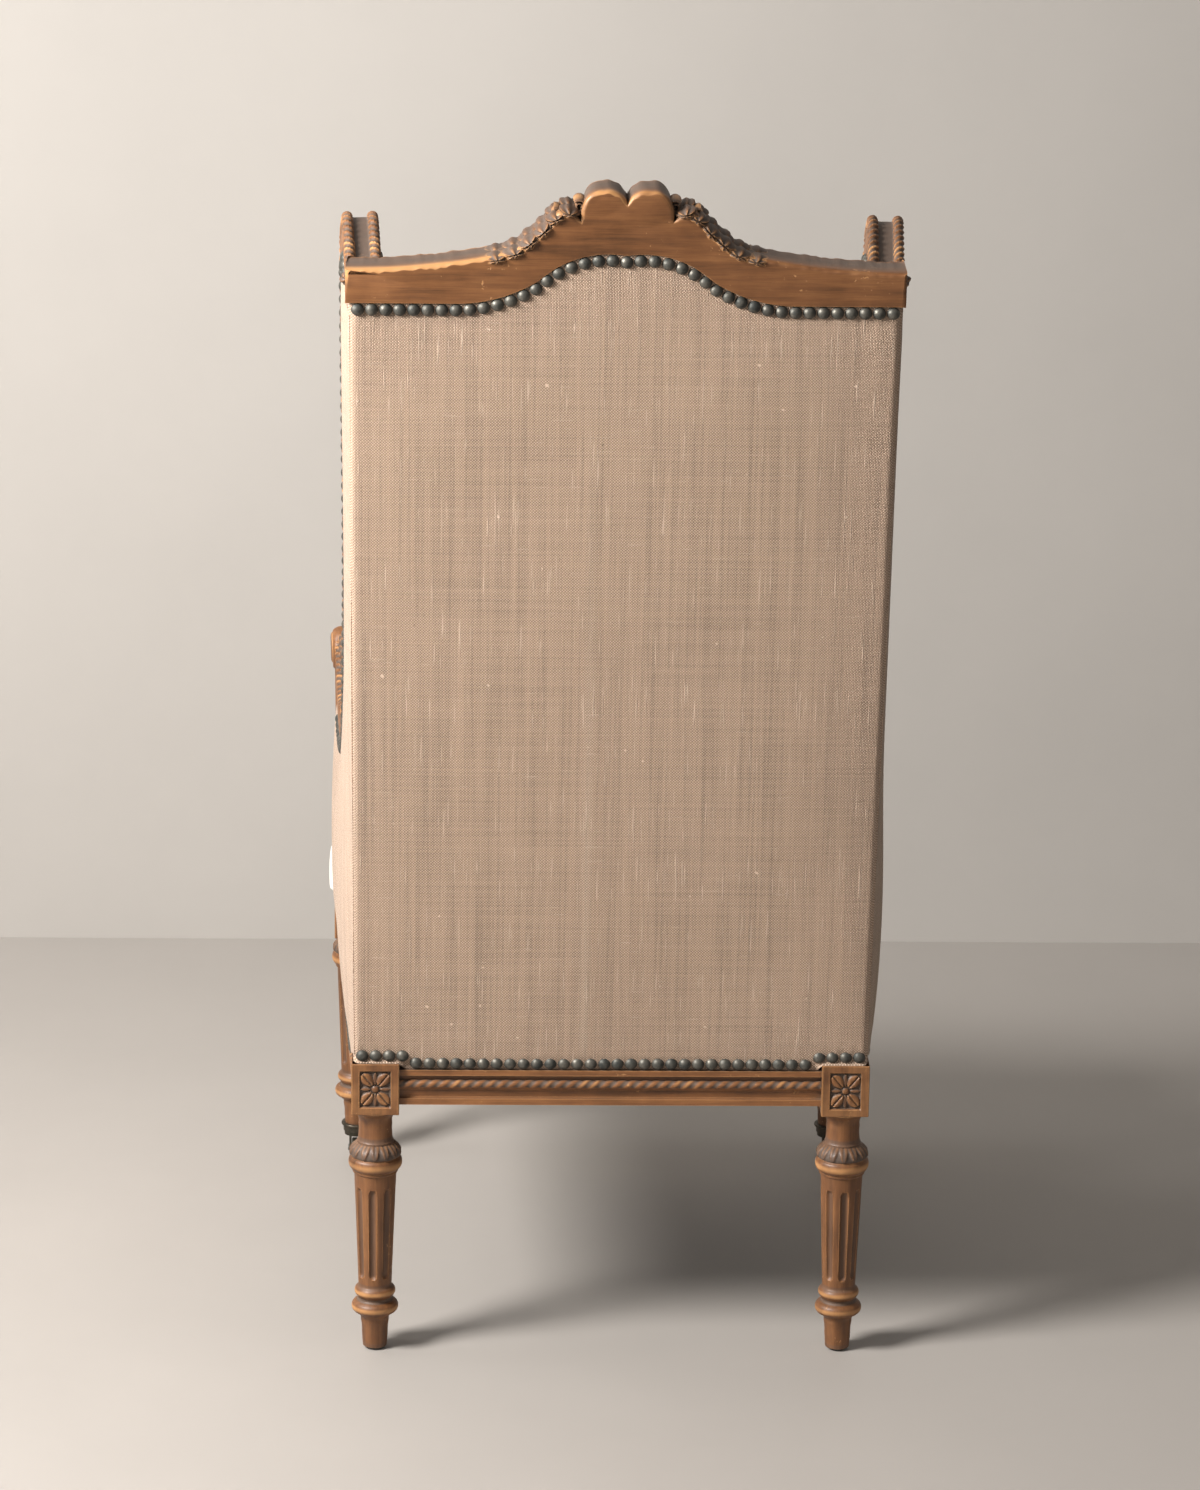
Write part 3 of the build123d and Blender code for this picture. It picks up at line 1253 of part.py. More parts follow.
def main():
    os.makedirs("parts", exist_ok=True)
    for name, shape in pieces().items():
        whole = Compound(children=shape) if isinstance(shape, list) else shape
        export_step(whole, f"parts/{name}.step")


main()
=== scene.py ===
"""Looks of a wingback chair: carved worn walnut, slubby linen outside, white padding inside, bronze nails."""
import math

import bpy
import numpy as np
from bpy.props import FloatProperty, FloatVectorProperty, PointerProperty
from mathutils import Matrix, Vector


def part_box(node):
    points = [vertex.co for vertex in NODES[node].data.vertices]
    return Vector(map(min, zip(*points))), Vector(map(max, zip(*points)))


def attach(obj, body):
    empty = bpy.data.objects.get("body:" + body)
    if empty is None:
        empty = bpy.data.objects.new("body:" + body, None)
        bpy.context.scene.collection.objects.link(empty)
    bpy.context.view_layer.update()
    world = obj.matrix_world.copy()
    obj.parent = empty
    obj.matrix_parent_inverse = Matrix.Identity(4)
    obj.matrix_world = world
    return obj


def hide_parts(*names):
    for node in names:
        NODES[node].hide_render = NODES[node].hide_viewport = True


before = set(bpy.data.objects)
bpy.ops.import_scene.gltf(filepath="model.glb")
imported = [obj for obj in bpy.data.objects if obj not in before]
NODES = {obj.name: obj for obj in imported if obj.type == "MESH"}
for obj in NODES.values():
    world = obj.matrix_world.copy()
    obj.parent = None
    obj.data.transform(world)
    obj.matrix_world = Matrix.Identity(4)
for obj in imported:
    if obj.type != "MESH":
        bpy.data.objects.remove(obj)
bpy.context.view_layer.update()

bl_info = {
    "name": "Wingback chair looks",
    "version": (1, 0, 0),
    "blender": (4, 5, 0),
    "location": "View3D > Sidebar > Chair",
    "description": "Dresses the packed frame of a wingback chair in wood, linen, padding and nails",
    "category": "Object",
}

MM = 0.001
SIDES = ("left", "right")

# Places that the pieces share, in metres
RAKE = math.radians(7.9)
FLARE = math.atan(0.02575 / 0.528)
LEAN = math.radians(0.69)
REAR_X, REAR_Y = 0.2215, 0.20918984
FRONT_X, FRONT_Y = 0.24725, REAR_Y - 0.528
RAIL_LINE = 0.2865
RAIL_TOP = 0.300
BACK_FOOT = 0.014
SIDE_X = REAR_X + 0.0225

# Legs, millimetres: the block's width, chamfer, foot and tops, and where the turned wood ends
BLOCK = 45.0
CHAMFER = 0.8
BLOCK_FOOT = 243.0
REAR_BLOCK_TOP, FRONT_BLOCK_TOP = 294.0, 300.0
REAR_FOOT, FRONT_FOOT = 2.0, 29.5

# Show-wood path and post in the side frame, millimetres: forward of the rear legs, above the rails
SIDE_PATH = [(-100, 771), (-4, 806), (100, 764), (96, 470), (215, 262), (330, 250), (432, 288)]
SIDE_RADII = [60, 50, 260, 150, 150]
SIDE_STEP = 1.5
POST_PATH = [(428, 262), (396, 130), (424, -2)]
POST_RADII = [160]
POST_HALF = 15.0
WING_JOINT = 360.0
WOOD_WIDTH = 34.0
WOOD_THICK = 32.0

# Seam between the wing pads and the arm pads, millimetres above the floor
PAD_SPLIT = 535.55

# Crest outline, millimetres: across and up the rake, each with the swell of the edge that ends there
CREST_HALF = 249.0
CREST_EDGE = 763.5
CREST_ARCH = 152.0
CREST_RISE = 46.0
CREST_TOP = [
    (249, 795, 0), (104, 811, -4.0), (66, 838.5, -1.5), (60, 850, 1.8),
    (41, 842, 2.5), (39, 857, 1.0), (21, 869, 4.0), (0, 857.5, 4.5),
]


class ChairSizes(bpy.types.PropertyGroup):
    """Sizes that change how the chair is dressed."""

    thread: FloatProperty(
        name="Thread", description="Spacing of the linen's threads", default=0.00135, subtype="DISTANCE")
    back_swell: FloatProperty(
        name="Back swell", description="How far the linen back stands out", default=0.0025,
        subtype="DISTANCE")
    twist_pitch: FloatProperty(
        name="Twist pitch", description="Length of one turn of the carved ribbon", default=0.0095,
        subtype="DISTANCE")
    voxel: FloatProperty(
        name="Cushion mesh", description="Mesh size of the stuffed pieces", default=0.006, subtype="DISTANCE")


class ChairColours(bpy.types.PropertyGroup):
    """Colours that a user would change."""

    walnut: FloatVectorProperty(
        name="Walnut", description="Waxed wood", default=(0.178, 0.070, 0.022), subtype="COLOR")
    worn: FloatVectorProperty(
        name="Worn edge", description="Rubbed and gilt edges", default=(0.49, 0.245, 0.092), subtype="COLOR")
    patina: FloatVectorProperty(
        name="Patina", description="Grey wax in the hollows", default=(0.060, 0.046, 0.037), subtype="COLOR")
    linen: FloatVectorProperty(
        name="Linen", description="Threads of the outside cover", default=(0.50, 0.345, 0.245),
        subtype="COLOR")
    slub: FloatVectorProperty(
        name="Slub", description="Thick pale threads", default=(0.75, 0.585, 0.455), subtype="COLOR")
    cotton: FloatVectorProperty(
        name="Cotton", description="Inside cover", default=(0.80, 0.78, 0.74), subtype="COLOR")
    bronze: FloatVectorProperty(
        name="Bronze", description="Nails", default=(0.108, 0.100, 0.084), subtype="COLOR")


# Shader sums

class Value:
    """A shader socket that takes part in sums."""

    def __init__(self, paint, socket):
        self.paint = paint
        self.socket = socket

    def maths(self, operation, other=0.0, swap=False):
        pair = (other, self) if swap else (self, other)
        return self.paint.node("ShaderNodeMath", {"operation": operation}, {0: pair[0], 1: pair[1]})

    def __add__(self, other):
        return self.maths("ADD", other)

    def __sub__(self, other):
        return self.maths("SUBTRACT", other)

    def __rsub__(self, other):
        return self.maths("SUBTRACT", other, True)

    def __mul__(self, other):
        return self.maths("MULTIPLY", other)

    __radd__ = __add__
    __rmul__ = __mul__


class Paint:
    """The nodes of one material, or of the light all round."""

    def __init__(self, name, owner=None):
        self.material = owner or bpy.data.materials.new(name)
        self.material.use_nodes = True
        self.tree = self.material.node_tree
        self.shader = self.tree.nodes.get("Principled BSDF")

    def node(self, kind, settings=None, sockets=None, output=0):
        """Adds a node: its settings first, then the values or links of its sockets."""
        made = self.tree.nodes.new(kind)
        for key, value in (settings or {}).items():
            if key == "stops":
                self.set_stops(made.color_ramp, value)
            else:
                setattr(made, key, value)
        for key, value in (sockets or {}).items():
            self.feed(made.inputs[key], value)
        return Value(self, made.outputs[output])

    def set_stops(self, ramp, stops):
        """Sets a ramp's places, each with a colour or a grey."""
        while len(ramp.elements) < len(stops):
            ramp.elements.new(0.5)
        for element, (place, tone) in zip(ramp.elements, stops):
            element.position = place
            element.color = (*tone, 1) if hasattr(tone, "__len__") else (tone, tone, tone, 1)

    def feed(self, socket, value):
        """Links a value to a socket, or sets the socket to a number, a vector or a colour."""
        if isinstance(value, Value):
            self.tree.links.new(value.socket, socket)
        elif hasattr(value, "__len__") and len(value) == 3 and socket.type == "RGBA":
            socket.default_value = (*value, 1)
        else:
            socket.default_value = value

    def give(self, **sockets):
        """Sets the shader's own sockets; an underscore stands for a space."""
        for name, value in sockets.items():
            self.feed(self.shader.inputs[name.replace("_", " ")], value)

    def place(self, scale=(1, 1, 1), turn=(0, 0, 0), cloth=False):
        """Coordinates of the object, or of the cloth's own map, scaled and turned."""
        source = self.node("ShaderNodeTexCoord", output=2 if cloth else 3)
        return self.node("ShaderNodeMapping", None, {"Vector": source, "Scale": scale, "Rotation": turn})

    def noise(self, vector, scale, detail=2.0, rough=0.5):
        return self.node("ShaderNodeTexNoise", None, {
            "Vector": vector, "Scale": scale, "Detail": detail, "Roughness": rough})

    def ramp(self, value, *stops):
        return self.node("ShaderNodeValToRGB", {"stops": stops}, {"Fac": value})

    def step(self, value, low, high):
        """0 up to the low value, then rising to 1 at the high one."""
        return self.ramp(value, (low, 0.0), (high, 1.0))

    def mix(self, share, first, second, kind="MIX"):
        return self.node("ShaderNodeMix", {"data_type": "RGBA", "blend_type": kind}, {
            0: share, 6: first, 7: second}, output=2)

    def bump(self, height, distance, strength=1.0):
        self.give(Normal=self.node("ShaderNodeBump", None, {
            "Height": height, "Distance": distance, "Strength": strength}))

    def mark(self, name):
        """A number that the piece carries for each point."""
        return self.node("ShaderNodeAttribute", {"attribute_name": name}, output=2)

    def edges(self, radius):
        """How sharply the surface turns nearby: 0 on flats, rising on edges."""
        bevel = self.node("ShaderNodeBevel", {"samples": 4}, {"Radius": radius})
        pair = {0: bevel, 1: self.node("ShaderNodeNewGeometry", output=1)}
        return 1.0 - self.node("ShaderNodeVectorMath", {"operation": "DOT_PRODUCT"}, pair, output=1)

    def hollows(self, distance):
        """How shut in the surface is: 0 in the open, 1 deep in a hollow."""
        return 1.0 - self.node("ShaderNodeAmbientOcclusion", {"samples": 6}, {"Distance": distance}, output=1)


FINISHES = {}


def finish(name, make, *details):
    """A material, made once."""
    if name not in FINISHES:
        FINISHES[name] = make(name, *details).material
    return FINISHES[name]


def tint(tone, *shares):
    """A colour made darker or lighter, by one share or by one for each channel."""
    return tuple(channel * share for channel, share in zip(tone, shares * 3 if len(shares) == 1 else shares))


# Scale of the grain and of the pores, along the wood and across it
GRAIN_ALONG, GRAIN_ACROSS = 9.0, 150.0
PORES_ALONG, PORES_ACROSS = 30.0, 900.0


def walnut(name, grain, lift=1.0):
    """Old waxed walnut: grain along one axis, rubbed gold edges, grey wax in the hollows, chips."""
    colours = bpy.context.scene.chair_colours
    paint = Paint(name)
    stretch = tuple(GRAIN_ALONG if axis == grain else GRAIN_ACROSS for axis in "XYZ")
    fine = tuple(PORES_ALONG if axis == grain else PORES_ACROSS for axis in "XYZ")
    bands = paint.noise(paint.place(stretch), 1.0, 4.0, 0.6)
    pores = paint.noise(paint.place(fine), 1.0, 3.0, 0.65)
    clouds = paint.noise(paint.place(), 22.0, 5.0, 0.62)
    dark = tint(colours.walnut, 0.42 * lift)
    middle = tint(colours.walnut, lift)
    light = tint(colours.walnut, 1.5 * lift, 1.62 * lift, 1.7 * lift)
    tone = paint.ramp(bands * 0.6 + clouds * 0.4, (0.30, dark), (0.5, middle), (0.70, light))
    wood = paint.mix(0.28, tone, paint.mix(paint.step(pores, 0.36, 0.52), tint(middle, 0.3), tone))
    rub = paint.step(paint.edges(0.0016) * 5.0 * (clouds * 1.5 + 0.1), 0.30, 0.62)
    # The wear mark is rubbed wear; on the crest's top edge it also carries a painted highlight towards the
    # lamp's side.
    handled = paint.step(paint.mark("wear") * (clouds * 1.3 + 0.25), 0.36, 0.74)
    wood = paint.mix(rub.maths("MAXIMUM", handled) * 0.85, wood, colours.worn)
    chip_place = paint.noise(paint.place(), 130.0, 3.0, 0.7)
    chips = paint.step(chip_place * (clouds + 0.5), 0.69, 0.73)
    wood = paint.mix(chips * 0.7, wood, tint(colours.worn, 0.95))
    marked = paint.step(paint.mark("patina") * (clouds * 0.9 + 0.55), 0.12, 0.85)
    wax = paint.step(paint.hollows(0.012), 0.30, 0.80).maths("MAXIMUM", marked)
    grey = paint.mix(chip_place, colours.patina, tint(colours.patina, 1.7))
    wood = paint.mix(wax * 0.86, wood, grey)
    rough = 0.36 + clouds * 0.3 + wax * 0.15
    paint.give(Base_Color=wood, Roughness=rough, Coat_Weight=0.08, Coat_Roughness=0.3)
    paint.bump(bands * 0.25 + pores * 0.35 + clouds * 0.6 - chips * 0.6, 0.0006, 0.55)
    return paint


def plain_wood(name):
    """Unfinished beech of the hidden rails."""
    paint = Paint(name)
    bands = paint.noise(paint.place((12, 140, 140)), 1.0, 4.0, 0.6)
    tone = paint.ramp(bands, (0.3, (0.36, 0.23, 0.125)), (0.7, (0.52, 0.36, 0.21)))
    paint.give(Base_Color=tone, Roughness=0.7)
    paint.bump(bands, 0.0004, 0.4)
    return paint


def weave(paint, thread, cloth=True):
    """The crossings of a plain weave, and its height from 0 in the gaps to 1 on the threads."""
    across = paint.place((1 / thread, 1 / thread, 1 / thread), cloth=cloth)
    drift = paint.noise(across, 0.35, 2.0)
    x, y, z = (paint.node("ShaderNodeSeparateXYZ", None, {0: across}, output=axis) for axis in range(3))
    u = x + drift * 0.9
    v = y + drift * 0.9
    if not cloth:
        u = u + z * 0.37
        v = v * 0.45 + z
    warp = (u * math.pi).maths("SINE")
    weft = (v * math.pi).maths("SINE")
    return warp * weft, warp.maths("ABSOLUTE") * weft.maths("ABSOLUTE")


def linen(name):
    """Natural linen: plain weave, upright slub streaks, thick pale threads, knots and dark specks."""
    colours = bpy.context.scene.chair_colours
    paint = Paint(name)
    cross, body = weave(paint, bpy.context.scene.chair_sizes.thread)

    def threads(across, along, detail, rough):
        return paint.noise(paint.place((across, along, 1), cloth=True), 1.0, detail, rough)

    streaks = threads(430, 4.5, 3.0, 0.6)
    wide = threads(85, 1.6, 3.0, 0.55)
    bars = threads(5.0, 420, 3.0, 0.6)
    slubs = paint.step(threads(520, 17, 2.0, 0.5), 0.64, 0.71)
    dashes = paint.step(threads(30, 560, 2.0, 0.5), 0.69, 0.75)
    knots = paint.step(paint.noise(paint.place(cloth=True), 95.0, 1.0), 0.775, 0.80)
    specks = paint.step(paint.noise(paint.place(turn=(0, 0, 1.1), cloth=True), 120.0, 1.0), 0.80, 0.83)
    clouds = paint.noise(paint.place(cloth=True), 5.0, 4.0, 0.6)
    shade = streaks * 0.42 + wide * 0.30 + bars * 0.30 + clouds * 0.20 - 0.11
    dark, pale = tint(colours.linen, 0.60), tint(colours.linen, 1.22)
    cloth = paint.ramp(shade, (0.38, dark), (0.50, colours.linen), (0.63, pale))
    # Paler along the seam's ridge: a painted highlight.
    cloth = paint.mix(paint.mark("seam") * 0.4, cloth, colours.slub)
    # Darker in the gaps between the threads: painted shade.
    cloth = paint.mix(1.0, cloth, paint.ramp(body, (0.02, 0.70), (0.40, 1.0)), "MULTIPLY")
    # The first two: crossings painted pale one way and dark the other, a painted highlight and shade of the
    # weave.
    for share, tone in (
            (paint.ramp(cross, (0.05, 0.0), (0.60, 0.70)), colours.slub),
            (paint.ramp(cross * -1.0, (0.05, 0.0), (0.60, 0.68)), tint(colours.linen, 0.40)),
            (slubs * 0.55, colours.slub), (dashes * 0.45, colours.slub),
            (knots * 0.7, tint(colours.slub, 1.12)), (specks * 0.5, (0.12, 0.075, 0.045))):
        cloth = paint.mix(share, cloth, tone)
    paint.give(Base_Color=cloth, Roughness=0.95, Sheen_Weight=0.15, Specular_IOR_Level=0.15)
    height = body * 0.5 + cross * 0.18 + slubs * 0.7 + dashes * 0.6 + knots * 1.1 + streaks * 0.3
    paint.bump(height, 0.0011, 0.8)
    return paint


def cotton(name):
    """Plain white cotton: fine weave and soft creases."""
    colours = bpy.context.scene.chair_colours
    paint = Paint(name)
    cross, body = weave(paint, 0.0009, cloth=False)
    clouds = paint.noise(paint.place(), 9.0, 4.0, 0.55)
    creases = paint.noise(paint.place((1, 1, 0.5)), 26.0, 3.0, 0.5)
    warm = tint(colours.cotton, 0.93, 0.91, 0.87)
    tone = paint.mix(paint.step(clouds + creases * 0.3, 0.45, 0.85), colours.cotton, warm)
    paint.give(Base_Color=tone, Roughness=0.92, Sheen_Weight=0.2)
    paint.bump(body * 0.12 + cross * 0.05 + creases * 1.4 + clouds * 1.2, 0.002, 0.5)
    return paint


def jute(name, tone):
    """Coarse woven straps and hessian."""
    paint = Paint(name)
    cross, body = weave(paint, 0.0022, cloth=False)
    # Darker in the gaps between the threads: painted shade.
    paint.give(Base_Color=paint.mix(paint.step(body, 0.05, 0.5), tint(tone, 0.4), tone), Roughness=0.95)
    paint.bump(body + cross * 0.3, 0.001, 0.7)
    return paint


def cambric(name):
    """Thin black cloth under the seat."""
    paint = Paint(name)
    cross, body = weave(paint, 0.0012, cloth=False)
    # Darker in the gaps between the threads: painted shade.
    paint.give(Base_Color=paint.mix(body, (0.008, 0.008, 0.009), (0.03, 0.03, 0.033)), Roughness=0.9)
    paint.bump(body + cross * 0.2, 0.0005, 0.5)
    return paint


def patinated(name, tone, gloss, green):
    """Old metal: bright on the crowns, dull and greenish in the hollows."""
    paint = Paint(name)
    clouds = paint.noise(paint.place(), 190.0, 4.0, 0.6)
    each = paint.noise(paint.place(), 55.0, 1.0)
    wear = paint.step(clouds * 0.6 + each * 0.4, 0.36, 0.66)
    metal = paint.mix(wear, tint(tone, 0.45, 0.52, 0.45 + green), tint(tone, 1.45))
    # Darker and less metallic where the occlusion node finds a hollow.
    hollow_dark = paint.step(paint.hollows(0.006), 0.35, 0.85)
    metal = paint.mix(hollow_dark * 0.8, metal, tint(tone, 0.16))
    rough = gloss + (1.0 - wear) * 0.16 + hollow_dark * 0.2
    paint.give(Base_Color=metal, Metallic=0.62 - hollow_dark * 0.4, Roughness=rough)
    paint.bump(clouds, 0.0004, 0.35)
    return paint


def bronze(name):
    """Dull bronze of the nails."""
    return patinated(name, bpy.context.scene.chair_colours.bronze, 0.44, 0.12)


# Modelling helpers

def clear_selection():
    """Leaves edit mode and selects nothing."""
    active = bpy.context.view_layer.objects.active
    if active and active.mode != "OBJECT":
        bpy.ops.object.mode_set(mode="OBJECT")
    bpy.ops.object.select_all(action="DESELECT")


def pick(*pieces):
    """Selects these pieces alone; the first is active."""
    clear_selection()
    for piece in pieces:
        piece.select_set(True)
    bpy.context.view_layer.objects.active = pieces[0]


def edit(piece):
    """Opens a piece in edit mode, with all of it selected."""
    pick(piece)
    bpy.ops.object.mode_set(mode="EDIT")
    bpy.ops.mesh.select_all(action="SELECT")


def done():
    """Leaves edit mode."""
    bpy.ops.object.mode_set(mode="OBJECT")


def set_points(piece, points):
    """Moves the points of a piece, in metres."""
    piece.data.vertices.foreach_set("co", np.asarray(points, np.float32).ravel())
    piece.data.update()


def get_points(piece):
    """The points of a piece, in metres."""
    points = np.zeros(len(piece.data.vertices) * 3, np.float32)
    piece.data.vertices.foreach_get("co", points)
    return points.reshape(-1, 3).astype(float)


def grid(name, points):
    """A grid primitive laid over rows of points."""
    rows, columns = points.shape[:2]
    clear_selection()
    bpy.ops.mesh.primitive_grid_add(x_subdivisions=columns - 1, y_subdivisions=rows - 1, size=1)
    piece = bpy.context.object
    piece.name = name
    set_points(piece, points)
    return piece


def close(piece, fill=True):
    """Joins meeting points, fills open ends and turns the faces outwards."""
    edit(piece)
    bpy.ops.mesh.remove_doubles(threshold=1e-6)
    if fill:
        bpy.ops.mesh.fill_holes(sides=0)
    bpy.ops.mesh.normals_make_consistent(inside=False)
    done()
    return piece


def tube(name, rings, patina=None, wear=None):
    """A closed tube through rings of points, with its wax and wear marked."""
    piece = grid(name, np.concatenate([rings, rings[:, :1]], axis=1))
    for label, values in (("patina", patina), ("wear", wear)):
        if values is not None:
            values = np.broadcast_to(values, rings.shape[:2])
            mark(piece, label, np.concatenate([values, values[:, :1]], axis=1))
    return close(piece)


def mark(piece, label, values):
    """Notes a number at each point of a piece, for its material."""
    layer = piece.data.attributes.new(label, "FLOAT", "POINT")
    layer.data.foreach_set("value", np.asarray(values, np.float32).ravel())


def polygon(name, points):
    """A flat face: a circle primitive drawn out to an outline."""
    clear_selection()
    bpy.ops.mesh.primitive_circle_add(vertices=len(points), fill_type="NGON")
    piece = bpy.context.object
    piece.name = name
    set_points(piece, points)
    return piece


def modify(piece, kind, **settings):
    """Adds a modifier and applies it."""
    added = piece.modifiers.new(kind.lower(), kind)
    for key, value in settings.items():
        setattr(added, key, value)
    pick(piece)
    bpy.ops.object.modifier_apply(modifier=added.name)


def join(name, pieces):
    """Joins pieces into the first one, under a name."""
    pick(*pieces)
    bpy.ops.object.join()
    pieces[0].name = name
    return pieces[0]


def turn_over(piece):
    """Turns the faces of a piece the other way."""
    edit(piece)
    bpy.ops.mesh.flip_normals()
    done()


def mirror_copy(piece):
    """The same piece on the right side, with its own mesh."""
    name = piece.name.replace("left", "right")
    pick(piece)
    bpy.ops.object.duplicate()
    copy = bpy.context.object
    copy.name = name
    set_points(copy, get_points(copy) * (-1, 1, 1))
    turn_over(copy)
    return copy


def mirrored(piece):
    """A left piece and its mirrored copy, each with its side."""
    return zip(SIDES, (piece, mirror_copy(piece)))


def thicken(piece, thickness, offset=0.0):
    """Gives a laid-out cloth its thickness."""
    modify(piece, "SOLIDIFY", thickness=thickness, offset=offset)
    close(piece, fill=False)
    smooth(piece, SMOOTH_CLOTH)


def smooth(piece, angle):
    """Shades a piece smooth, but for edges sharper than the angle in degrees."""
    pick(piece)
    bpy.ops.object.shade_smooth_by_angle(angle=math.radians(angle))


def dress(piece, material, body="chair", nodes=()):
    """Gives a finished piece its material, its body and the nodes it stands for."""
    piece.data.materials.clear()
    piece.data.materials.append(material)
    piece.data.polygons.foreach_set("material_index", [0] * len(piece.data.polygons))
    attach(piece, body)
    if nodes:
        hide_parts(*nodes)


def paint_node(node, material):
    """Gives a node of the frame its material."""
    NODES[node].data.materials.clear()
    NODES[node].data.materials.append(material)


def cloth_map(piece, across, along):
    """Lays the cloth's own map, in metres, from one pair of numbers for each point."""
    layer = piece.data.uv_layers.active or piece.data.uv_layers.new(name="cloth")
    corners = np.zeros(len(piece.data.loops), np.int32)
    piece.data.loops.foreach_get("vertex_index", corners)
    pairs = np.stack([np.asarray(across)[corners], np.asarray(along)[corners]], axis=1)
    layer.data.foreach_set("uv", pairs.astype(np.float32).ravel())


def back_point(across, up, out):
    """A point of the raked back, from millimetres across, up the rake and out of the back."""
    across, up, out = np.broadcast_arrays(across, up, out)
    y = REAR_Y + BACK_FOOT + (up * math.sin(RAKE) + out * math.cos(RAKE)) * MM
    z = RAIL_LINE + (up * math.cos(RAKE) - out * math.sin(RAKE)) * MM
    return np.stack([across * MM, y, z], axis=-1)


SIDE_FORWARD = np.array([math.sin(FLARE), -math.cos(FLARE), 0.0])
SIDE_UP = np.array([math.sin(LEAN) * math.cos(FLARE), math.sin(LEAN) * math.sin(FLARE), math.cos(LEAN)])
SIDE_IN = np.array([-math.cos(FLARE) * math.cos(LEAN), -math.sin(FLARE) * math.cos(LEAN), math.sin(LEAN)])
SIDE_FOOT = np.array([SIDE_X, REAR_Y, RAIL_TOP])


def side_point(forward, up, inward):
    """A point of the left side, from millimetres forward, up and into the chair."""
    amounts = np.broadcast_arrays(forward, up, inward)
    forward, up, inward = (np.asarray(amount, float)[..., None] * MM for amount in amounts)
    return SIDE_FOOT + forward * SIDE_FORWARD + up * SIDE_UP + inward * SIDE_IN


def depth_in_side(points):
    """Millimetres into the chair from the left side."""
    return (points - SIDE_FOOT) @ SIDE_IN / MM


def circle(count):
    """Angles once round, evenly spaced."""
    return np.linspace(0, 2 * math.pi, count, endpoint=False)


def unit(rows):
    """Rows of numbers, each scaled to length 1."""
    return rows / np.linalg.norm(rows, axis=1, keepdims=True)


def travelled(line):
    """How far along a line each of its points is."""
    return np.concatenate([[0], np.cumsum(np.linalg.norm(np.diff(line, axis=0), axis=1))])


def run(points, step):
    """Points along lines and arcs: each (x, y, swell) ends an edge that swells to its right."""
    line = [points[0][:2]]
    for (x0, y0, _), (x1, y1, swell) in zip(points, points[1:]):
        chord = math.hypot(x1 - x0, y1 - y0)
        way = np.array([x1 - x0, y1 - y0]) / chord
        right = np.array([way[1], -way[0]])
        count = max(1, math.ceil(chord / step))
        half = 2 * math.atan(2 * abs(swell) / chord)
        radius = chord / 2 / math.sin(half) if swell else 0
        for k in range(1, count + 1):
            share = k / count
            if swell:
                turn = half * (2 * share - 1)
                along = radius * math.sin(turn)
                bulge = math.copysign(radius * (math.cos(turn) - math.cos(half)), swell)
            else:
                along, bulge = chord * (share - 0.5), 0
            line.append(tuple(np.array([x0 + x1, y0 + y1]) / 2 + way * along + right * bulge))
    return np.array(line)


# Steps in each rounded corner of a path
ARC_STEPS = 12


def rounded(points, radii, step):
    """A path with rounded corners, sampled evenly."""
    points = [np.array(p, float) for p in points]
    line = [points[0]]
    for before, corner, after, radius in zip(points, points[1:], points[2:], radii):
        back, ahead = before - corner, after - corner
        back, ahead = back / np.linalg.norm(back), ahead / np.linalg.norm(ahead)
        half = math.acos(float(np.clip(back @ ahead, -1, 1))) / 2
        reach = radius / math.tan(half)
        middle = (back + ahead) / np.linalg.norm(back + ahead)
        centre = corner + middle * (radius / math.sin(half))
        first, last = corner + back * reach - centre, corner + ahead * reach - centre
        turn = math.copysign(math.pi - 2 * half, first[0] * last[1] - first[1] * last[0])
        for k in range(ARC_STEPS + 1):
            c, s = math.cos(turn * k / ARC_STEPS), math.sin(turn * k / ARC_STEPS)
            line.append(centre + np.array([c * first[0] - s * first[1], s * first[0] + c * first[1]]))
    line = np.array(line + [points[-1]])
    length = travelled(line)
    even = np.linspace(0, length[-1], max(2, round(length[-1] / step)))
    return np.stack([np.interp(even, length, line[:, k]) for k in (0, 1)], axis=1)


def ways_along(path):
    """The direction of a path at each of its points."""
    return unit(np.gradient(path, axis=0))


def shifted(path, inside):
    """A path of the left side, moved to its right."""
    ways = ways_along(path)
    return np.stack([path[:, 0] + ways[:, 1] * inside, path[:, 1] - ways[:, 0] * inside], 1)


def sweep(name, path, profile):
    """A profile (inside the path's right, into the chair) carried along a path of the left side."""
    ways = ways_along(path)
    inside, inward, wax = np.array(profile, float).T
    forward = path[:, :1] + ways[:, 1:] * inside
    up = path[:, 1:] - ways[:, :1] * inside
    return tube(name, side_point(forward, up, np.broadcast_to(inward, forward.shape)), wax)


def rings_round(line, ways, aslant, swell, turn):
    """Rings of points round a line; it runs along the ways, and never along the slanted direction."""
    side = unit(np.cross(ways, aslant))
    rise = np.cross(side, ways)
    return line[:, None] + swell * (
        np.cos(turn)[None, :, None] * side[:, None] + np.sin(turn)[None, :, None] * rise[:, None])


def twisted(name, line, radius, pitch, depth=0.42, gilt=1.0):
    """A carved ribbon twisted round a line of points, more or less deep and bright."""
    travel = travelled(line)
    turn = circle(12)
    ridge = 0.5 + 0.5 * np.cos(2 * turn[None] - 2 * math.pi * travel[:, None] / pitch)
    swell = radius * (1.04 - depth * (1 - np.sqrt(ridge)))
    rings = rings_round(line, ways_along(line), np.array([0.31, 0.83, 0.47]), swell[..., None], turn)
    patch = 0.5 + 0.3 * np.sin(travel * 61) + 0.3 * np.sin(travel * 143 + 2)
    bright = gilt * ridge * np.clip(patch, 0.25, 1)[:, None]
    return tube(name, rings, 1.15 * (1 - ridge) ** 1.5, bright)


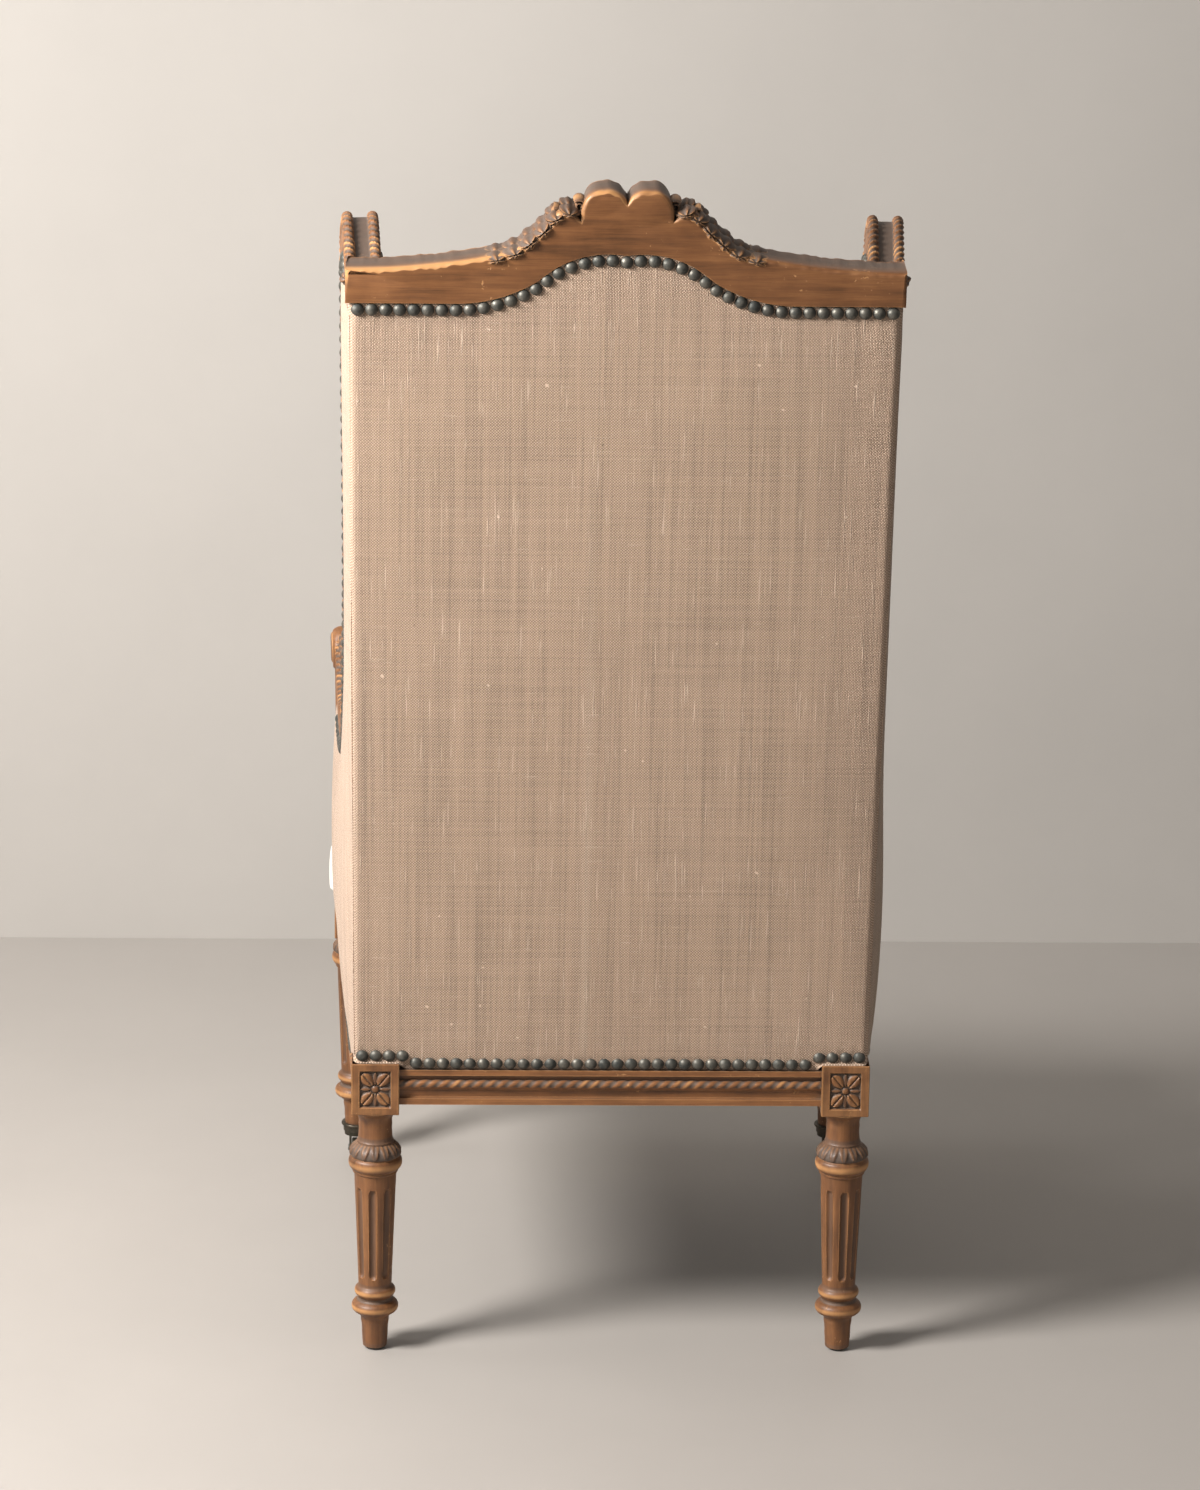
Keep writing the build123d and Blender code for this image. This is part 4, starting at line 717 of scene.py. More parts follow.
# Linen, millimetres: half of the back, its spread and rolled edge, the blocks, the hem, the nails, the seam
BACK_HALF = 242.2
BACK_SPREAD = 4.0
BACK_ROLL = 6.5
BLOCKS_FROM = 195.0
HEM_OUT = 4.4
NAIL_PITCH = 12.5
SEAM_AT, SEAM_LEAN, SEAM_WIDTH = 26.0, 4.0, 2.4
SEAM_RISE = 0.8

# Linen's tuck under the wood, the pull of the nails and its width, its puckers, its slow waves, millimetres
TUCK = 1.5
NAIL_PULL, PULL_WIDTH = 0.9, 6
PUCKER = 0.45
WAVE = 0.5

# Side linen, millimetres: its foot and top, its ends at the post, at the arm and at the rear block, its swell
SIDE_LOW, SIDE_TOP = -13.2, 771
POST_TOP, ARM_END, BLOCK_END = 222, 398, 24.5
SIDE_SWELL, ARM_SWELL = 5.0, 6.5
SIDE_PULL = 1.2
FIELD_STEP = 6

# Linen's thickness and the mesh of its sides in metres, and the angle up to which cloth is smooth
LINEN_THICK = 0.003
LINEN_GRID = 0.0125
SMOOTH_CLOTH = 60


def crest_line(across):
    """Lower edge of the crest rail, millimetres up the rake."""
    line = run([(-CREST_HALF, CREST_EDGE, 0), (-CREST_ARCH, CREST_EDGE, 0),
                (-CREST_ARCH / 2, CREST_EDGE + CREST_RISE / 2, CREST_RISE * 0.13),
                (0, CREST_EDGE + CREST_RISE, -CREST_RISE * 0.208),
                (CREST_ARCH / 2, CREST_EDGE + CREST_RISE / 2, -CREST_RISE * 0.208),
                (CREST_ARCH, CREST_EDGE, CREST_RISE * 0.13), (CREST_HALF, CREST_EDGE, 0)], 4)
    return np.interp(across, line[:, 0], line[:, 1])


def settle(amount):
    """A smooth step from 0 to 1."""
    amount = np.clip(amount, 0, 1)
    return amount * amount * (3 - 2 * amount)


class CHAIR_OT_back_linen(bpy.types.Operator):
    """Covers the outside back in linen with rounded edges, drawn in under the nails"""

    bl_idname = "chair.back_linen"
    bl_label = "Back linen"

    def execute(self, context):
        columns = np.linspace(1, -1, 97)
        across = columns * 0.5 + np.sin(columns * math.pi / 2) * 0.5
        rise = np.linspace(0, 1, 151)[:, None]
        rise = rise * 0.55 + (1 - np.cos(rise * math.pi)) * 0.225
        half = BACK_HALF + BACK_SPREAD * rise
        x = across[None] * half
        over_block = settle((np.abs(x) - BLOCKS_FROM) / 4)
        low = 0.3 + 7.2 * over_block
        high = crest_line(x) + TUCK
        up = low + (high - low) * rise
        over = np.clip((np.abs(x) - (half - BACK_ROLL)) / BACK_ROLL, 0, 1)
        out = -BACK_ROLL * (1 - np.sqrt(np.clip(1 - over ** 2, 0, 1))) * 0.8
        swell = context.scene.chair_sizes.back_swell / MM
        out = out + swell * (1 - (x / half) ** 4) * np.sin(math.pi * rise) ** 0.35
        edge = np.minimum(up - low, high - up)
        pucker = np.cos(x * 2 * math.pi / NAIL_PITCH) * PUCKER * np.exp(-((edge - 13) / 9) ** 2)
        out = out - NAIL_PULL * np.exp(-((edge - PULL_WIDTH) / PULL_WIDTH) ** 2) + pucker
        out = out + HEM_OUT * over_block * np.exp(-((up - low) / 2.6) ** 2)
        seam = np.exp(-((x - SEAM_AT - SEAM_LEAN * rise) / SEAM_WIDTH) ** 2) * settle(edge / 30)
        out = out + SEAM_RISE * seam
        out = out + WAVE * np.sin(x * 0.021 + up * 0.006) * np.sin(up * 0.011 + 1.3)
        piece = grid("back_linen", back_point(x, up, out))
        cloth_map(piece, (x * MM).ravel(), (up * MM).ravel())
        # The seam mark lets the material paint a highlight along this ridge.
        mark(piece, "seam", seam)
        thicken(piece, LINEN_THICK, -1.0)
        dress(piece, finish("linen", linen), nodes=["outside_back_panel"])
        return {"FINISHED"}


def side_field():
    """Outline of the outside linen on the left side, millimetres in the side frame."""
    inner = shifted(rounded(SIDE_PATH, SIDE_RADII, FIELD_STEP), WOOD_WIDTH - TUCK)
    post_edge = shifted(rounded(POST_PATH, POST_RADII, FIELD_STEP), POST_HALF)
    rear = np.array([[back_line(h) + TUCK, h] for h in np.linspace(-13, SIDE_TOP, 60)])
    keep = inner[(inner[:, 0] > back_line(inner[:, 1]) + 34) & (inner[:, 0] < ARM_END)]
    post_edge = post_edge[(post_edge[:, 1] < POST_TOP) & (post_edge[:, 1] > -13)]
    foot = np.array([[s, SIDE_LOW] for s in np.linspace(400, 30, 40)])
    foot = foot[foot[:, 0] < post_edge[-1, 0] - 3]
    rear = rear[(rear[:, 1] > -4) & (rear[:, 1] < keep[0, 1])]
    corner = np.array([[BLOCK_END, SIDE_LOW], [BLOCK_END, -5.0]])
    return np.concatenate([keep, post_edge, foot, corner, rear])


def back_line(height):
    """Where the linen back's inner face meets the left side, forward of the rear legs."""
    return -(BACK_FOOT / MM + (height + 13.5) * math.tan(RAKE)) + 1.5


class CHAIR_OT_side_linen(bpy.types.Operator):
    """Covers the outside of the wings and arms in linen"""

    bl_idname = "chair.side_linen"
    bl_label = "Side linen"

    def execute(self, context):
        outline = side_field()
        flat = polygon("left_side_linen", np.stack([outline[:, 0], outline[:, 1], 0 * outline[:, 0]], 1) * MM)
        edit(flat)
        for way, first, last in (((1, 0, 0), -9, 36), ((0, 1, 0), -1, 66)):
            for k in range(first, last):
                bpy.ops.mesh.select_all(action="SELECT")
                bpy.ops.mesh.bisect(plane_co=[k * LINEN_GRID * axis for axis in way], plane_no=way)
        done()
        points = get_points(flat) / MM
        x, y = points[:, 0], points[:, 1]
        edge = np.linalg.norm(points[:, None, :2] - outline[None], axis=2).min(axis=1)
        swell = SIDE_SWELL * (1 - np.exp(-edge / 55)) + 0.6 * np.sin(x * 0.02) * np.sin(y * 0.013)
        low = np.exp(-((y - 110) / 140) ** 2) * (1 - np.exp(-edge / 30)) * ARM_SWELL
        dip = SIDE_PULL * np.exp(-((edge - PULL_WIDTH) / PULL_WIDTH) ** 2)
        rear = np.clip((x - back_line(y)) / 10, 0, 1)
        out = (0.8 + swell + low - dip) * (0.3 + 0.7 * np.sqrt(rear))
        set_points(flat, side_point(x, y, 2.0 - out))
        cloth_map(flat, x * MM, y * MM)
        edit(flat)
        bpy.ops.mesh.normals_make_consistent(inside=False)
        done()
        if flat.data.polygons[len(flat.data.polygons) // 2].normal.x < 0:
            turn_over(flat)
        modify(flat, "SOLIDIFY", thickness=LINEN_THICK, offset=-1.0)
        smooth(flat, SMOOTH_CLOTH)
        for side, piece in mirrored(flat):
            dress(piece, finish("linen", linen), nodes=[f"{side}_outside_panel"])
        return {"FINISHED"}


# Carved wood

def leaf(name, length, width, height, lobes):
    """A carved leaf lying along x: scalloped edge, raised ribs, a vein down the middle."""
    clear_selection()
    bpy.ops.mesh.primitive_uv_sphere_add(segments=40, ring_count=14, radius=1)
    piece = bpy.context.object
    piece.name = name
    x, y, z = get_points(piece).T
    angle = np.arctan2(y, x)
    ridge = np.cos(angle * lobes)
    scallop = 1 + 0.10 * ridge * np.abs(np.sin(angle)) ** 0.5
    taper = 0.74 - 0.30 * x
    vein = 1 - 0.30 * np.exp(-(y / 0.10) ** 2) * (z > 0)
    ribs = 1 + 0.13 * ridge * np.clip(np.hypot(x, y), 0, 1)
    place = [x * scallop * length / 2, y * scallop * taper * width / 2, z * vein * ribs * height]
    set_points(piece, np.stack(place, 1) * MM)
    mark(piece, "patina", 0.75 - 0.5 * ridge * np.clip(np.abs(z) * 1.4, 0, 1))
    mark(piece, "wear", np.clip(ridge, 0, 1) * 0.75 * np.clip(np.abs(z) * 1.5, 0, 1))
    return piece


def scroll(name, radius, thick, turns=1.6):
    """A small volute in the x, y plane: a tapering tube wound inward to an eye."""
    share = np.linspace(0, 1, 56)
    turn = share * turns * 2 * math.pi
    reach = radius * (1 - 0.80 * share)
    line = np.stack([np.cos(turn) * reach, np.sin(turn) * reach, 0 * turn], 1)
    ways = ways_along(line)
    flat = np.stack([ways[:, 1], -ways[:, 0], 0 * turn], 1)
    around = circle(10)
    wide = radius * (0.30 - 0.12 * share)
    rings = line[:, None] + wide[:, None, None] * np.cos(around)[None, :, None] * flat[:, None]
    rings[..., 2] += thick / 2 * np.sin(around)[None]
    ridge = np.abs(np.cos(around))[None]
    return tube(name, rings * MM, 0.75 - 0.5 * ridge, 0.8 * ridge)


def set_on_back(piece, across, up, out, turn, flip=1):
    """Stands a piece that was made flat on the back's plane at a place, turned in that plane."""
    x, y, z = (get_points(piece) / MM * (flip, 1, 1)).T
    c, s = math.cos(turn), math.sin(turn)
    set_points(piece, back_point(across + (c * x - s * y), up + (s * x + c * y), out + z))
    if flip < 0:
        turn_over(piece)
    return piece


def crest_outline():
    """The crest's outline from its left end over the top and back along the arch, and what is on top."""
    top = run(CREST_TOP, 2.5)
    whole = np.concatenate([top, (top * (-1, 1))[::-1][1:]])
    across = np.linspace(-CREST_HALF, CREST_HALF, 120)
    lower = np.stack([across, crest_line(across)], 1)
    return np.concatenate([whole, lower]), np.arange(len(whole) + len(lower)) < len(whole)


# The crest board's levels: out of the back, drawn in by rubbing, wear, wax
CREST_LEVELS = np.array([
    (2.0, 3.4, 0.0, 0.0), (1.75, 2.2, 0.95, 0.0), (1.0, 0.9, 1.0, 0.0), (-0.4, 0.2, 1.0, 0.0),
    (-3.0, 0.0, 0.8, 0.2), (-9.0, 0.1, 0.45, 0.6), (-20.0, 0.6, 0.3, 0.85), (-31.0, 1.0, 0.3, 0.7),
    (-35.5, 1.6, 0.7, 0.2), (-36.8, 3.0, 0.4, 0.0), (-37.0, 4.2, 0.0, 0.0)])

# Leaves on the crest: across, up the rake, length, width, turn
CREST_LEAVES = [
    (114, 805.5, 24, 11, 0.20), (98, 811, 25, 13, 0.35), (85, 821, 25, 14, 0.72),
    (73, 832, 24, 14, 0.80), (62, 843.5, 22, 13, 0.42), (51, 848.5, 20, 12, -0.15)]
LEAF_DEPTHS = (-7.0, -26.0)
LEAF_HEIGHT, LEAF_LOBES = 12.5, 7

# Scrolls on the crest: radius, thickness, across, up the rake, turn; all in the middle of its thickness
CREST_SCROLLS = ((5.6, 22, 42.0, 852.5, 0.6), (5.0, 20, 63.0, 845.0, 1.2))
CREST_MIDDLE = -17.5


class CHAIR_OT_crest(bpy.types.Operator):
    """Carves the crest rail: flat back, arched edge, leaves, scrolls and two lobes"""

    bl_idname = "chair.crest"
    bl_label = "Crest rail"

    def execute(self, context):
        parts = [self.board()]
        for sign in (1, -1):
            parts += self.carving(sign)
        crest = join("crest", parts)
        smooth(crest, 35)
        dress(crest, finish("walnut_across", walnut, "X", 1.0), nodes=["crest_rail"])
        return {"FINISHED"}

    @staticmethod
    def board():
        """The board, its upper rear edge rubbed round and nicked, the rub on its top brightened towards +X as
        a painted highlight on the lamp's side.
        """
        outline, on_top = crest_outline()
        way = unit(np.roll(outline, -1, 0) - np.roll(outline, 1, 0))
        x, y = outline.T
        ragged = 1 + 0.30 * np.sin(x * 0.19 + 1) * np.sin(x * 0.047)
        ragged = ragged + 0.25 * np.sin(x * 0.53 + 2 * np.sin(x * 0.11))
        out, drawn, wear, wax = (CREST_LEVELS[:, k:k + 1] for k in range(4))
        inset = drawn * np.where(on_top, ragged, 0.18)[None]
        rings = back_point(x[None] - way[None, :, 1] * inset, y[None] + way[None, :, 0] * inset, out)
        # Wear on the top edge, raised towards +X, the lamp's side: partly rubbed wear, partly a painted
        # highlight.
        lit = np.clip(0.72 + x / 420 + 0.25 * np.sin(x * 0.083) * np.sin(x * 0.031 + 1), 0.3, 1) * on_top
        return tube("crest", rings, wax * on_top[None], wear * lit[None])

    @staticmethod
    def carving(sign):
        """Leaves that climb one side to the lobes, with the scrolls and the knob at the end."""
        made = []
        for across, up, length, width, turn in CREST_LEAVES:
            for depth in LEAF_DEPTHS:
                one = leaf("leaf", length, width, LEAF_HEIGHT, LEAF_LOBES)
                made.append(set_on_back(one, sign * across, up, depth, -sign * turn, flip=-sign))
        for radius, thick, across, up, turn in CREST_SCROLLS:
            curl = scroll("curl", radius, thick)
            made.append(set_on_back(curl, sign * across, up, CREST_MIDDLE, turn * sign, flip=sign))
        knob = leaf("knob", 13, 15, 5.0, 6)
        made.append(set_on_back(knob, sign * 247.5, 781, -18, 0.5 * math.pi, flip=sign))
        return made


# Half of the show-wood's profile, outer face first: inside the outer edge, into the chair, wax in the hollows
HALF_PROFILE = [
    (WOOD_WIDTH, 2.0, 0.0), (WOOD_WIDTH - 1.2, 0.6, 0.0), (WOOD_WIDTH - 4, 0.0, 0.0), (17.0, 0.0, 0.0),
    (15.4, 1.0, 0.5), (14.0, 1.9, 0.9), (12.0, 1.9, 0.9), (10.6, 0.7, 0.4), (9.0, 0.3, 0.5), (6.0, 0.9, 0.8),
    (4.4, 4.0, 0.9), (4.2, 8.6, 0.9), (5.2, 9.8, 1.0), (5.4, 11.0, 1.0),
]
SHOW_PROFILE = HALF_PROFILE + [
    (inside, WOOD_THICK - inward, wax) for inside, inward, wax in HALF_PROFILE[::-1]]

# The arm post's profile, in the same order, with a sunk panel in its front
POST_PROFILE = [
    (-15.5, 1.5, 0), (-14, 0, 0), (14, 0, 0), (15.5, 1.5, 0), (15.5, 30.5, 0), (14, 32, 0), (-14, 32, 0),
    (-15.5, 30.5, 0), (-15.5, 22.5, 0.3), (-13.0, 21.0, 1), (-13.0, 11.0, 1), (-15.5, 9.5, 0.3),
]

# Ribbon along the show-wood: inside the outer edge and into the chair, millimetres, and its radius
RIBBON_INSIDE, RIBBON_IN = 4.6, 4.5
RIBBON_RADIUS = 0.0049

# Round end of the arm, millimetres: into the chair, and the radius there
KNUCKLE_DEPTH = np.array([-2.0, -1.6, 0.4, 4, 9, 13, 16, 19, 23, 28, 31.6, 33.6, 34.0])
KNUCKLE_RADIUS = np.array([15.5, 18.4, 20.6, 21.6, 22.0, 21.4, 20.4, 21.4, 22.0, 21.6, 20.6, 18.4, 15.5])

# Its leaves, millimetres: back from the end and length, and how far they stand off
KNUCKLE_LEAVES = ((14, 34), (34, 36), (56, 30))
LEAF_LIFT = 1.2


def beaded(name, path, pitch):
    """A stretch of show-wood with a twisted ribbon along both of its outer edges."""
    parts = [sweep(name, path, SHOW_PROFILE)]
    forward, up = shifted(path, RIBBON_INSIDE).T
    for inward in (RIBBON_IN, WOOD_THICK - RIBBON_IN):
        parts.append(twisted("ribbon", side_point(forward, up, inward), RIBBON_RADIUS, pitch))
    return join(name, parts)


def arm_knuckle(path):
    """The carved round end of the arm: leaves over the top and a scroll on each cheek."""
    ways = ways_along(path)
    centre = path[-1] + np.array([ways[-1, 1], -ways[-1, 0]]) * WOOD_WIDTH / 2
    turn = circle(72)
    depth = KNUCKLE_DEPTH[:, None]
    lobes = 1 + 0.045 * np.cos(turn[None] * 9 + 0.9 * np.cos((depth - 16) * 0.2))
    reach = KNUCKLE_RADIUS[:, None] * np.where((depth > 1) & (depth < 31), lobes, 1)
    forward, up = centre[0] + reach * np.cos(turn), centre[1] + reach * np.sin(turn)
    made = [tube("knuckle", side_point(forward, up, depth))]
    for face in (KNUCKLE_DEPTH[0], KNUCKLE_DEPTH[-1]):
        eye = scroll("eye", 14.0, 3.4, 2.1)
        x, y, z = (get_points(eye) / MM).T
        set_points(eye, side_point(centre[0] + x, centre[1] + y, face + z))
        made.append(close(eye))
    for inward in (9.0, 23.0):
        for back, length in KNUCKLE_LEAVES:
            acanthus = leaf("acanthus", length, 14, 5.2, 9)
            points = get_points(acanthus) / MM
            at = -1 - int(back / SIDE_STEP)
            along = ways[at]
            normal = np.array([-along[1], along[0]])
            place = path[at][None] - along[None] * points[:, :1] + normal[None] * (points[:, 2:] + LEAF_LIFT)
            set_points(acanthus, side_point(place[:, 0], place[:, 1], inward + points[:, 1]))
            made.append(close(acanthus))
    return made


class CHAIR_OT_wings(bpy.types.Operator):
    """Carves the wing rails, the arms with their round ends and the arm posts"""

    bl_idname = "chair.wings"
    bl_label = "Wings and arms"

    def execute(self, context):
        pitch = context.scene.chair_sizes.twist_pitch
        path = rounded(SIDE_PATH, SIDE_RADII, SIDE_STEP)
        last_high = np.nonzero(path[:, 1] > WING_JOINT)[0][-1]
        wing = beaded("left_wing", path[:last_high + 2], pitch)
        arm = join("left_arm", [beaded("left_arm", path[last_high + 1:], pitch)] + arm_knuckle(path))
        post = sweep("left_post", rounded(POST_PATH, POST_RADII, 4), POST_PROFILE)
        for piece, kind in ((wing, "wing_rail"), (arm, "arm_rail"), (post, "arm_post")):
            smooth(piece, 40)
            for side, one in mirrored(piece):
                dress(one, finish("walnut_upright", walnut, "Z", 1.0), nodes=[f"{side}_{kind}"])
        return {"FINISHED"}


# Legs, millimetres above the end of the wood: radius, height, swell, from a small radius at the axis
LEG_AXIS = 0.6
LEG_PROFILE = [
    (LEG_AXIS, 0, 0), (10.6, 0, 0), (11.5, 0.9, 0.3), (12.4, 15, 0), (13.5, 27, -0.4), (15.4, 33.5, -0.8),
    (18.2, 35.2, 0.2), (18.4, 47.0, 4.0), (17.0, 47.8, 0), (16.8, 51.4, -0.9), (17.2, 52.3, 0),
    (17.2, 61.2, 2.3), (16.2, 62.0, 0), (15.9, 65.0, -0.4), (20.0, 177.5, 0), (21.6, 178.2, 0.2),
    (21.6, 180.6, 0.3), (23.0, 181.4, 0), (24.2, 192.6, 1.9), (23.0, 194.0, -0.3), (24.8, 196.2, 0.5),
    (18.4, 207.2, 1.5), (17.4, 208.2, -0.2), (16.6, 210.4, 0.4),
]

# Points round a leg and its turn, the height from which it has a neck on top, its shaft and its knop
LEG_POINTS = 168
LEG_TURN = math.radians(6.6)
NECK_FROM = 226
SHAFT_FOOT, SHAFT_TOP = 68, 170
KNOP_FOOT, KNOP_TOP = 194.4, 207.6

# Flutes: how many, depth, half width, foot and top; then the number of leaves round the knop
FLUTES, FLUTE_DEPTH, FLUTE_HALF = 8, 2.7, 3.7
FLUTE_FOOT, FLUTE_TOP = 76, 160
COLLAR_LEAVES = 14

# Rosette, millimetres: half of its sunk panel, its depth, where the petals start, the boss
PANEL_ACROSS, PANEL_UP = 14.75, 18.25
PANEL_DEPTH = 2.6
PETAL_START = 4.4
BOSS_RADIUS = 3.8


def flower(across, up):
    """Relief of the rosette in its sunk panel, millimetres from the block's face."""
    panel = np.maximum(np.abs(across) - PANEL_ACROSS, np.abs(up) - PANEL_UP)
    relief = -PANEL_DEPTH * settle(-panel / 1.1)
    corner = math.atan2(PANEL_UP, PANEL_ACROSS)
    for k in range(4):
        turn = (corner if k % 2 == 0 else math.pi - corner) + math.pi * (k // 2)
        large = petal(across, up, turn, 19.5, 5.9, 2.8, 1.9)
        small = petal(across, up, k * math.pi / 2, 13.5 + 3 * (k % 2), 2.3, 1.7, 0.0)
        relief = np.maximum(relief, np.maximum(large, small) - PANEL_DEPTH)
    boss = np.sqrt(np.clip(1 - (np.hypot(across, up) / BOSS_RADIUS) ** 2, 0, 1))
    return np.maximum(relief, (boss - 1) * PANEL_DEPTH)


def petal(across, up, turn, reach, half, height, groove):
    """Height of one petal over the panel: a dome along one direction, with a groove down its middle."""
    along = across * math.cos(turn) + up * math.sin(turn)
    aside = up * math.cos(turn) - across * math.sin(turn)
    share = np.clip((along - PETAL_START) / (reach - PETAL_START), 0, 1)
    width = half * np.sqrt(np.clip(np.sin(math.pi * share ** 1.15), 0, 1)) + 1e-6
    dome = np.sqrt(np.clip(1 - (aside / width) ** 2, 0, 1))
    return height * dome ** 0.7 - groove * np.exp(-(aside / 0.75) ** 2) * (dome > 0)


def leg_turning(x, y, foot, top):
    """The turned, fluted leg with carved leaves round its knop."""
    tall = top - foot
    profile = [p for p in LEG_PROFILE if p[1] < tall - 1]
    if tall > NECK_FROM:
        profile += [(16.0, tall - 15, -0.5), (22.0, tall - 1.2, -2.4), (22.4, tall, 0), (LEG_AXIS, tall, 0)]
    else:
        profile += [(profile[-1][0], tall, 0), (LEG_AXIS, tall, 0)]
    line = run(profile, 1.7)
    turn = circle(LEG_POINTS) - LEG_TURN
    radius = np.repeat(line[:, :1], LEG_POINTS, axis=1)
    height = line[:, 1:]

    def between(low, high):
        return (height > low) & (height < high)

    def band(middle, reach):
        return np.exp(-((height - middle) / reach) ** 2)

    step = 2 * math.pi / FLUTES
    aside = np.abs((turn + LEG_TURN + step / 2) % step - step / 2)[None] * radius
    past = np.maximum(np.maximum(FLUTE_FOOT - height, height - FLUTE_TOP), 0)
    cut = FLUTE_DEPTH * np.sqrt(np.clip(1 - (np.hypot(aside, past) / FLUTE_HALF) ** 2, 0, 1))
    on_shaft = between(SHAFT_FOOT, SHAFT_TOP)
    radius = radius - np.where(on_shaft, cut, 0)
    share = np.clip((height - 195.0) / 12.0, 0, 1)
    on_knop = between(KNOP_FOOT, KNOP_TOP) & (line[:, :1] > 15)
    spread = np.abs((turn * COLLAR_LEAVES / (2 * math.pi)) % 1 - 0.5)[None] * 2
    inside_leaf = settle((np.sqrt(np.clip(share + 0.03, 0, 1)) - spread) / 0.22)
    vein = np.exp(-((spread / 0.16) ** 2))
    carved = 1.5 * inside_leaf * np.sin(math.pi * (0.15 + 0.8 * share)) - 0.7 * vein * share - 0.9
    radius = radius + np.where(on_knop, carved, 0)
    wax = np.where(on_shaft, cut / FLUTE_DEPTH * 0.5, 0)
    wax = np.where(on_knop, 0.95 - 0.5 * inside_leaf * (1 - vein), wax)
    wax = wax + 0.55 * between(208, 214) + 0.4 * between(61, 66)
    wax = wax + 0.7 * between(47.2, 52) + 0.35 * (height < 5)
    ringed = band(41, 3.4) + band(57, 3.0) + band(187, 4.6) + 0.3 * (np.abs(aside - 4.4) < 0.9) * on_shaft
    rings = np.stack([x + radius * np.cos(turn) * MM, y + radius * np.sin(turn) * MM,
                      np.repeat((foot + height) * MM, LEG_POINTS, axis=1)], axis=2)
    return tube("turning", rings, wax, 0.8 * ringed + np.where(on_knop, 0.55 * inside_leaf * (1 - vein), 0))


def leg_block(x, y, low, high, carved):
    """The square block, with a rosette on each carved face: +X is 0, +Y is 1, -X is 2, -Y is 3."""
    edge, inner = BLOCK / 2, BLOCK / 2 - CHAMFER
    plain = 2 * CHAMFER
    place = np.concatenate([[-edge, -inner], np.linspace(-edge + plain, edge - plain, 50), [inner]])
    upright = np.linspace(low + plain, high - plain, 56)
    rise = np.concatenate([[low, low + CHAMFER], upright, [high - CHAMFER, high]])
    at_corner = np.abs(place) >= edge - 1e-6
    rings, wax = [], []
    for z in rise:
        ring, dark = [], []
        shrink = CHAMFER if z in (low, high) else 0.0
        for face in range(4):
            relief = flower(place, np.full_like(place, z - (low + high) / 2)) if face in carved else 0 * place
            out = np.where(at_corner, inner - shrink, edge - shrink + np.minimum(relief, 0))
            aside = np.clip(np.where(at_corner, -inner, place), -edge + shrink, edge - shrink)
            c, s = math.cos(face * math.pi / 2), math.sin(face * math.pi / 2)
            ring.append(np.stack([c * out - s * aside, s * out + c * aside, 0 * out + z], 1))
            dark.append(np.clip(-relief - 0.7, 0, 1.2))
        rings.append(np.concatenate(ring))
        wax.append(np.concatenate(dark))
    wax = np.array(wax)
    return tube("block", np.array(rings) * MM + np.array([x, y, 0]), wax, 0.44 - 0.2 * wax)


def stile():
    """The raked stile behind the linen, above the left rear block."""
    across, out = np.array([194, 228, 228, 194]), np.array([-6, -6, -34, -34])
    return tube("stile", np.stack([back_point(across, -4, out), back_point(across + 5, 745, out)]))


class CHAIR_OT_legs(bpy.types.Operator):
    """Turns and carves the four legs"""

    bl_idname = "chair.legs"
    bl_label = "Legs"

    def execute(self, context):
        rear = [leg_turning(REAR_X, REAR_Y, REAR_FOOT, BLOCK_FOOT),
                leg_block(REAR_X, REAR_Y, BLOCK_FOOT, REAR_BLOCK_TOP, (0, 1)), stile()]
        front = [leg_turning(FRONT_X, FRONT_Y, FRONT_FOOT, BLOCK_FOOT),
                 leg_block(FRONT_X, FRONT_Y, BLOCK_FOOT, FRONT_BLOCK_TOP, (0, 3))]
        for name, parts in (("rear_leg", rear), ("front_leg", front)):
            piece = join(f"left_{name}_carved", parts)
            smooth(piece, 34)
            for side, one in mirrored(piece):
                dress(one, finish("walnut_legs", walnut, "Z", 0.95), nodes=[f"{side}_{name}"])
        return {"FINISHED"}


# Ribbon on the seat rails, metres: height, out from the legs, in from the sides, half lengths, radius
BEAD_HEIGHT = 0.272
BEAD_OUT, BEAD_IN = 0.0142, 0.0045
REAR_BEAD, FRONT_BEAD = 0.1988, 0.2245
BEAD_RADIUS = 0.0042
SMOOTH_RIBBON = 60


class CHAIR_OT_rails(bpy.types.Operator):
    """Lays a carved ribbon along the bead of each seat rail"""

    bl_idname = "chair.rails"
    bl_label = "Seat rail ribbons"

    def execute(self, context):
        pitch = context.scene.chair_sizes.twist_pitch
        rear_y, front_y = REAR_Y + BEAD_OUT, FRONT_Y - BEAD_OUT
        side_x = SIDE_X - BEAD_IN
        rows = {
            "rear_seat_rail": ((-REAR_BEAD, rear_y), (REAR_BEAD, rear_y)),
            "front_seat_rail": ((-FRONT_BEAD, front_y), (FRONT_BEAD, front_y)),
            "left_seat_rail": ((side_x + 0.0225 * math.tan(FLARE), REAR_Y - 0.0226),
                               (side_x + 0.5055 * math.tan(FLARE), FRONT_Y + 0.0226)),
        }
        share = np.linspace(0, 1, 330)[:, None]
        for name, ends in rows.items():
            first, last = np.array(ends)
            line = np.concatenate([first + share * (last - first), 0 * share + BEAD_HEIGHT], 1)
            ribbon = twisted(name + "_ribbon", line, BEAD_RADIUS, pitch * 1.15, 0.26, 0.75)
            smooth(ribbon, SMOOTH_RIBBON)
            pieces = [ribbon]
            if name.startswith("left"):
                pieces.append(mirror_copy(ribbon))
            for piece in pieces:
                dress(piece, finish("walnut_rails", walnut, "X", 1.2))
        for node in ("rear_seat_rail", "front_seat_rail"):
            paint_node(node, finish("walnut_rails", walnut, "X", 1.2))
        for node in ("left_seat_rail", "right_seat_rail"):
            paint_node(node, finish("walnut_sides", walnut, "Y", 1.2))
        return {"FINISHED"}


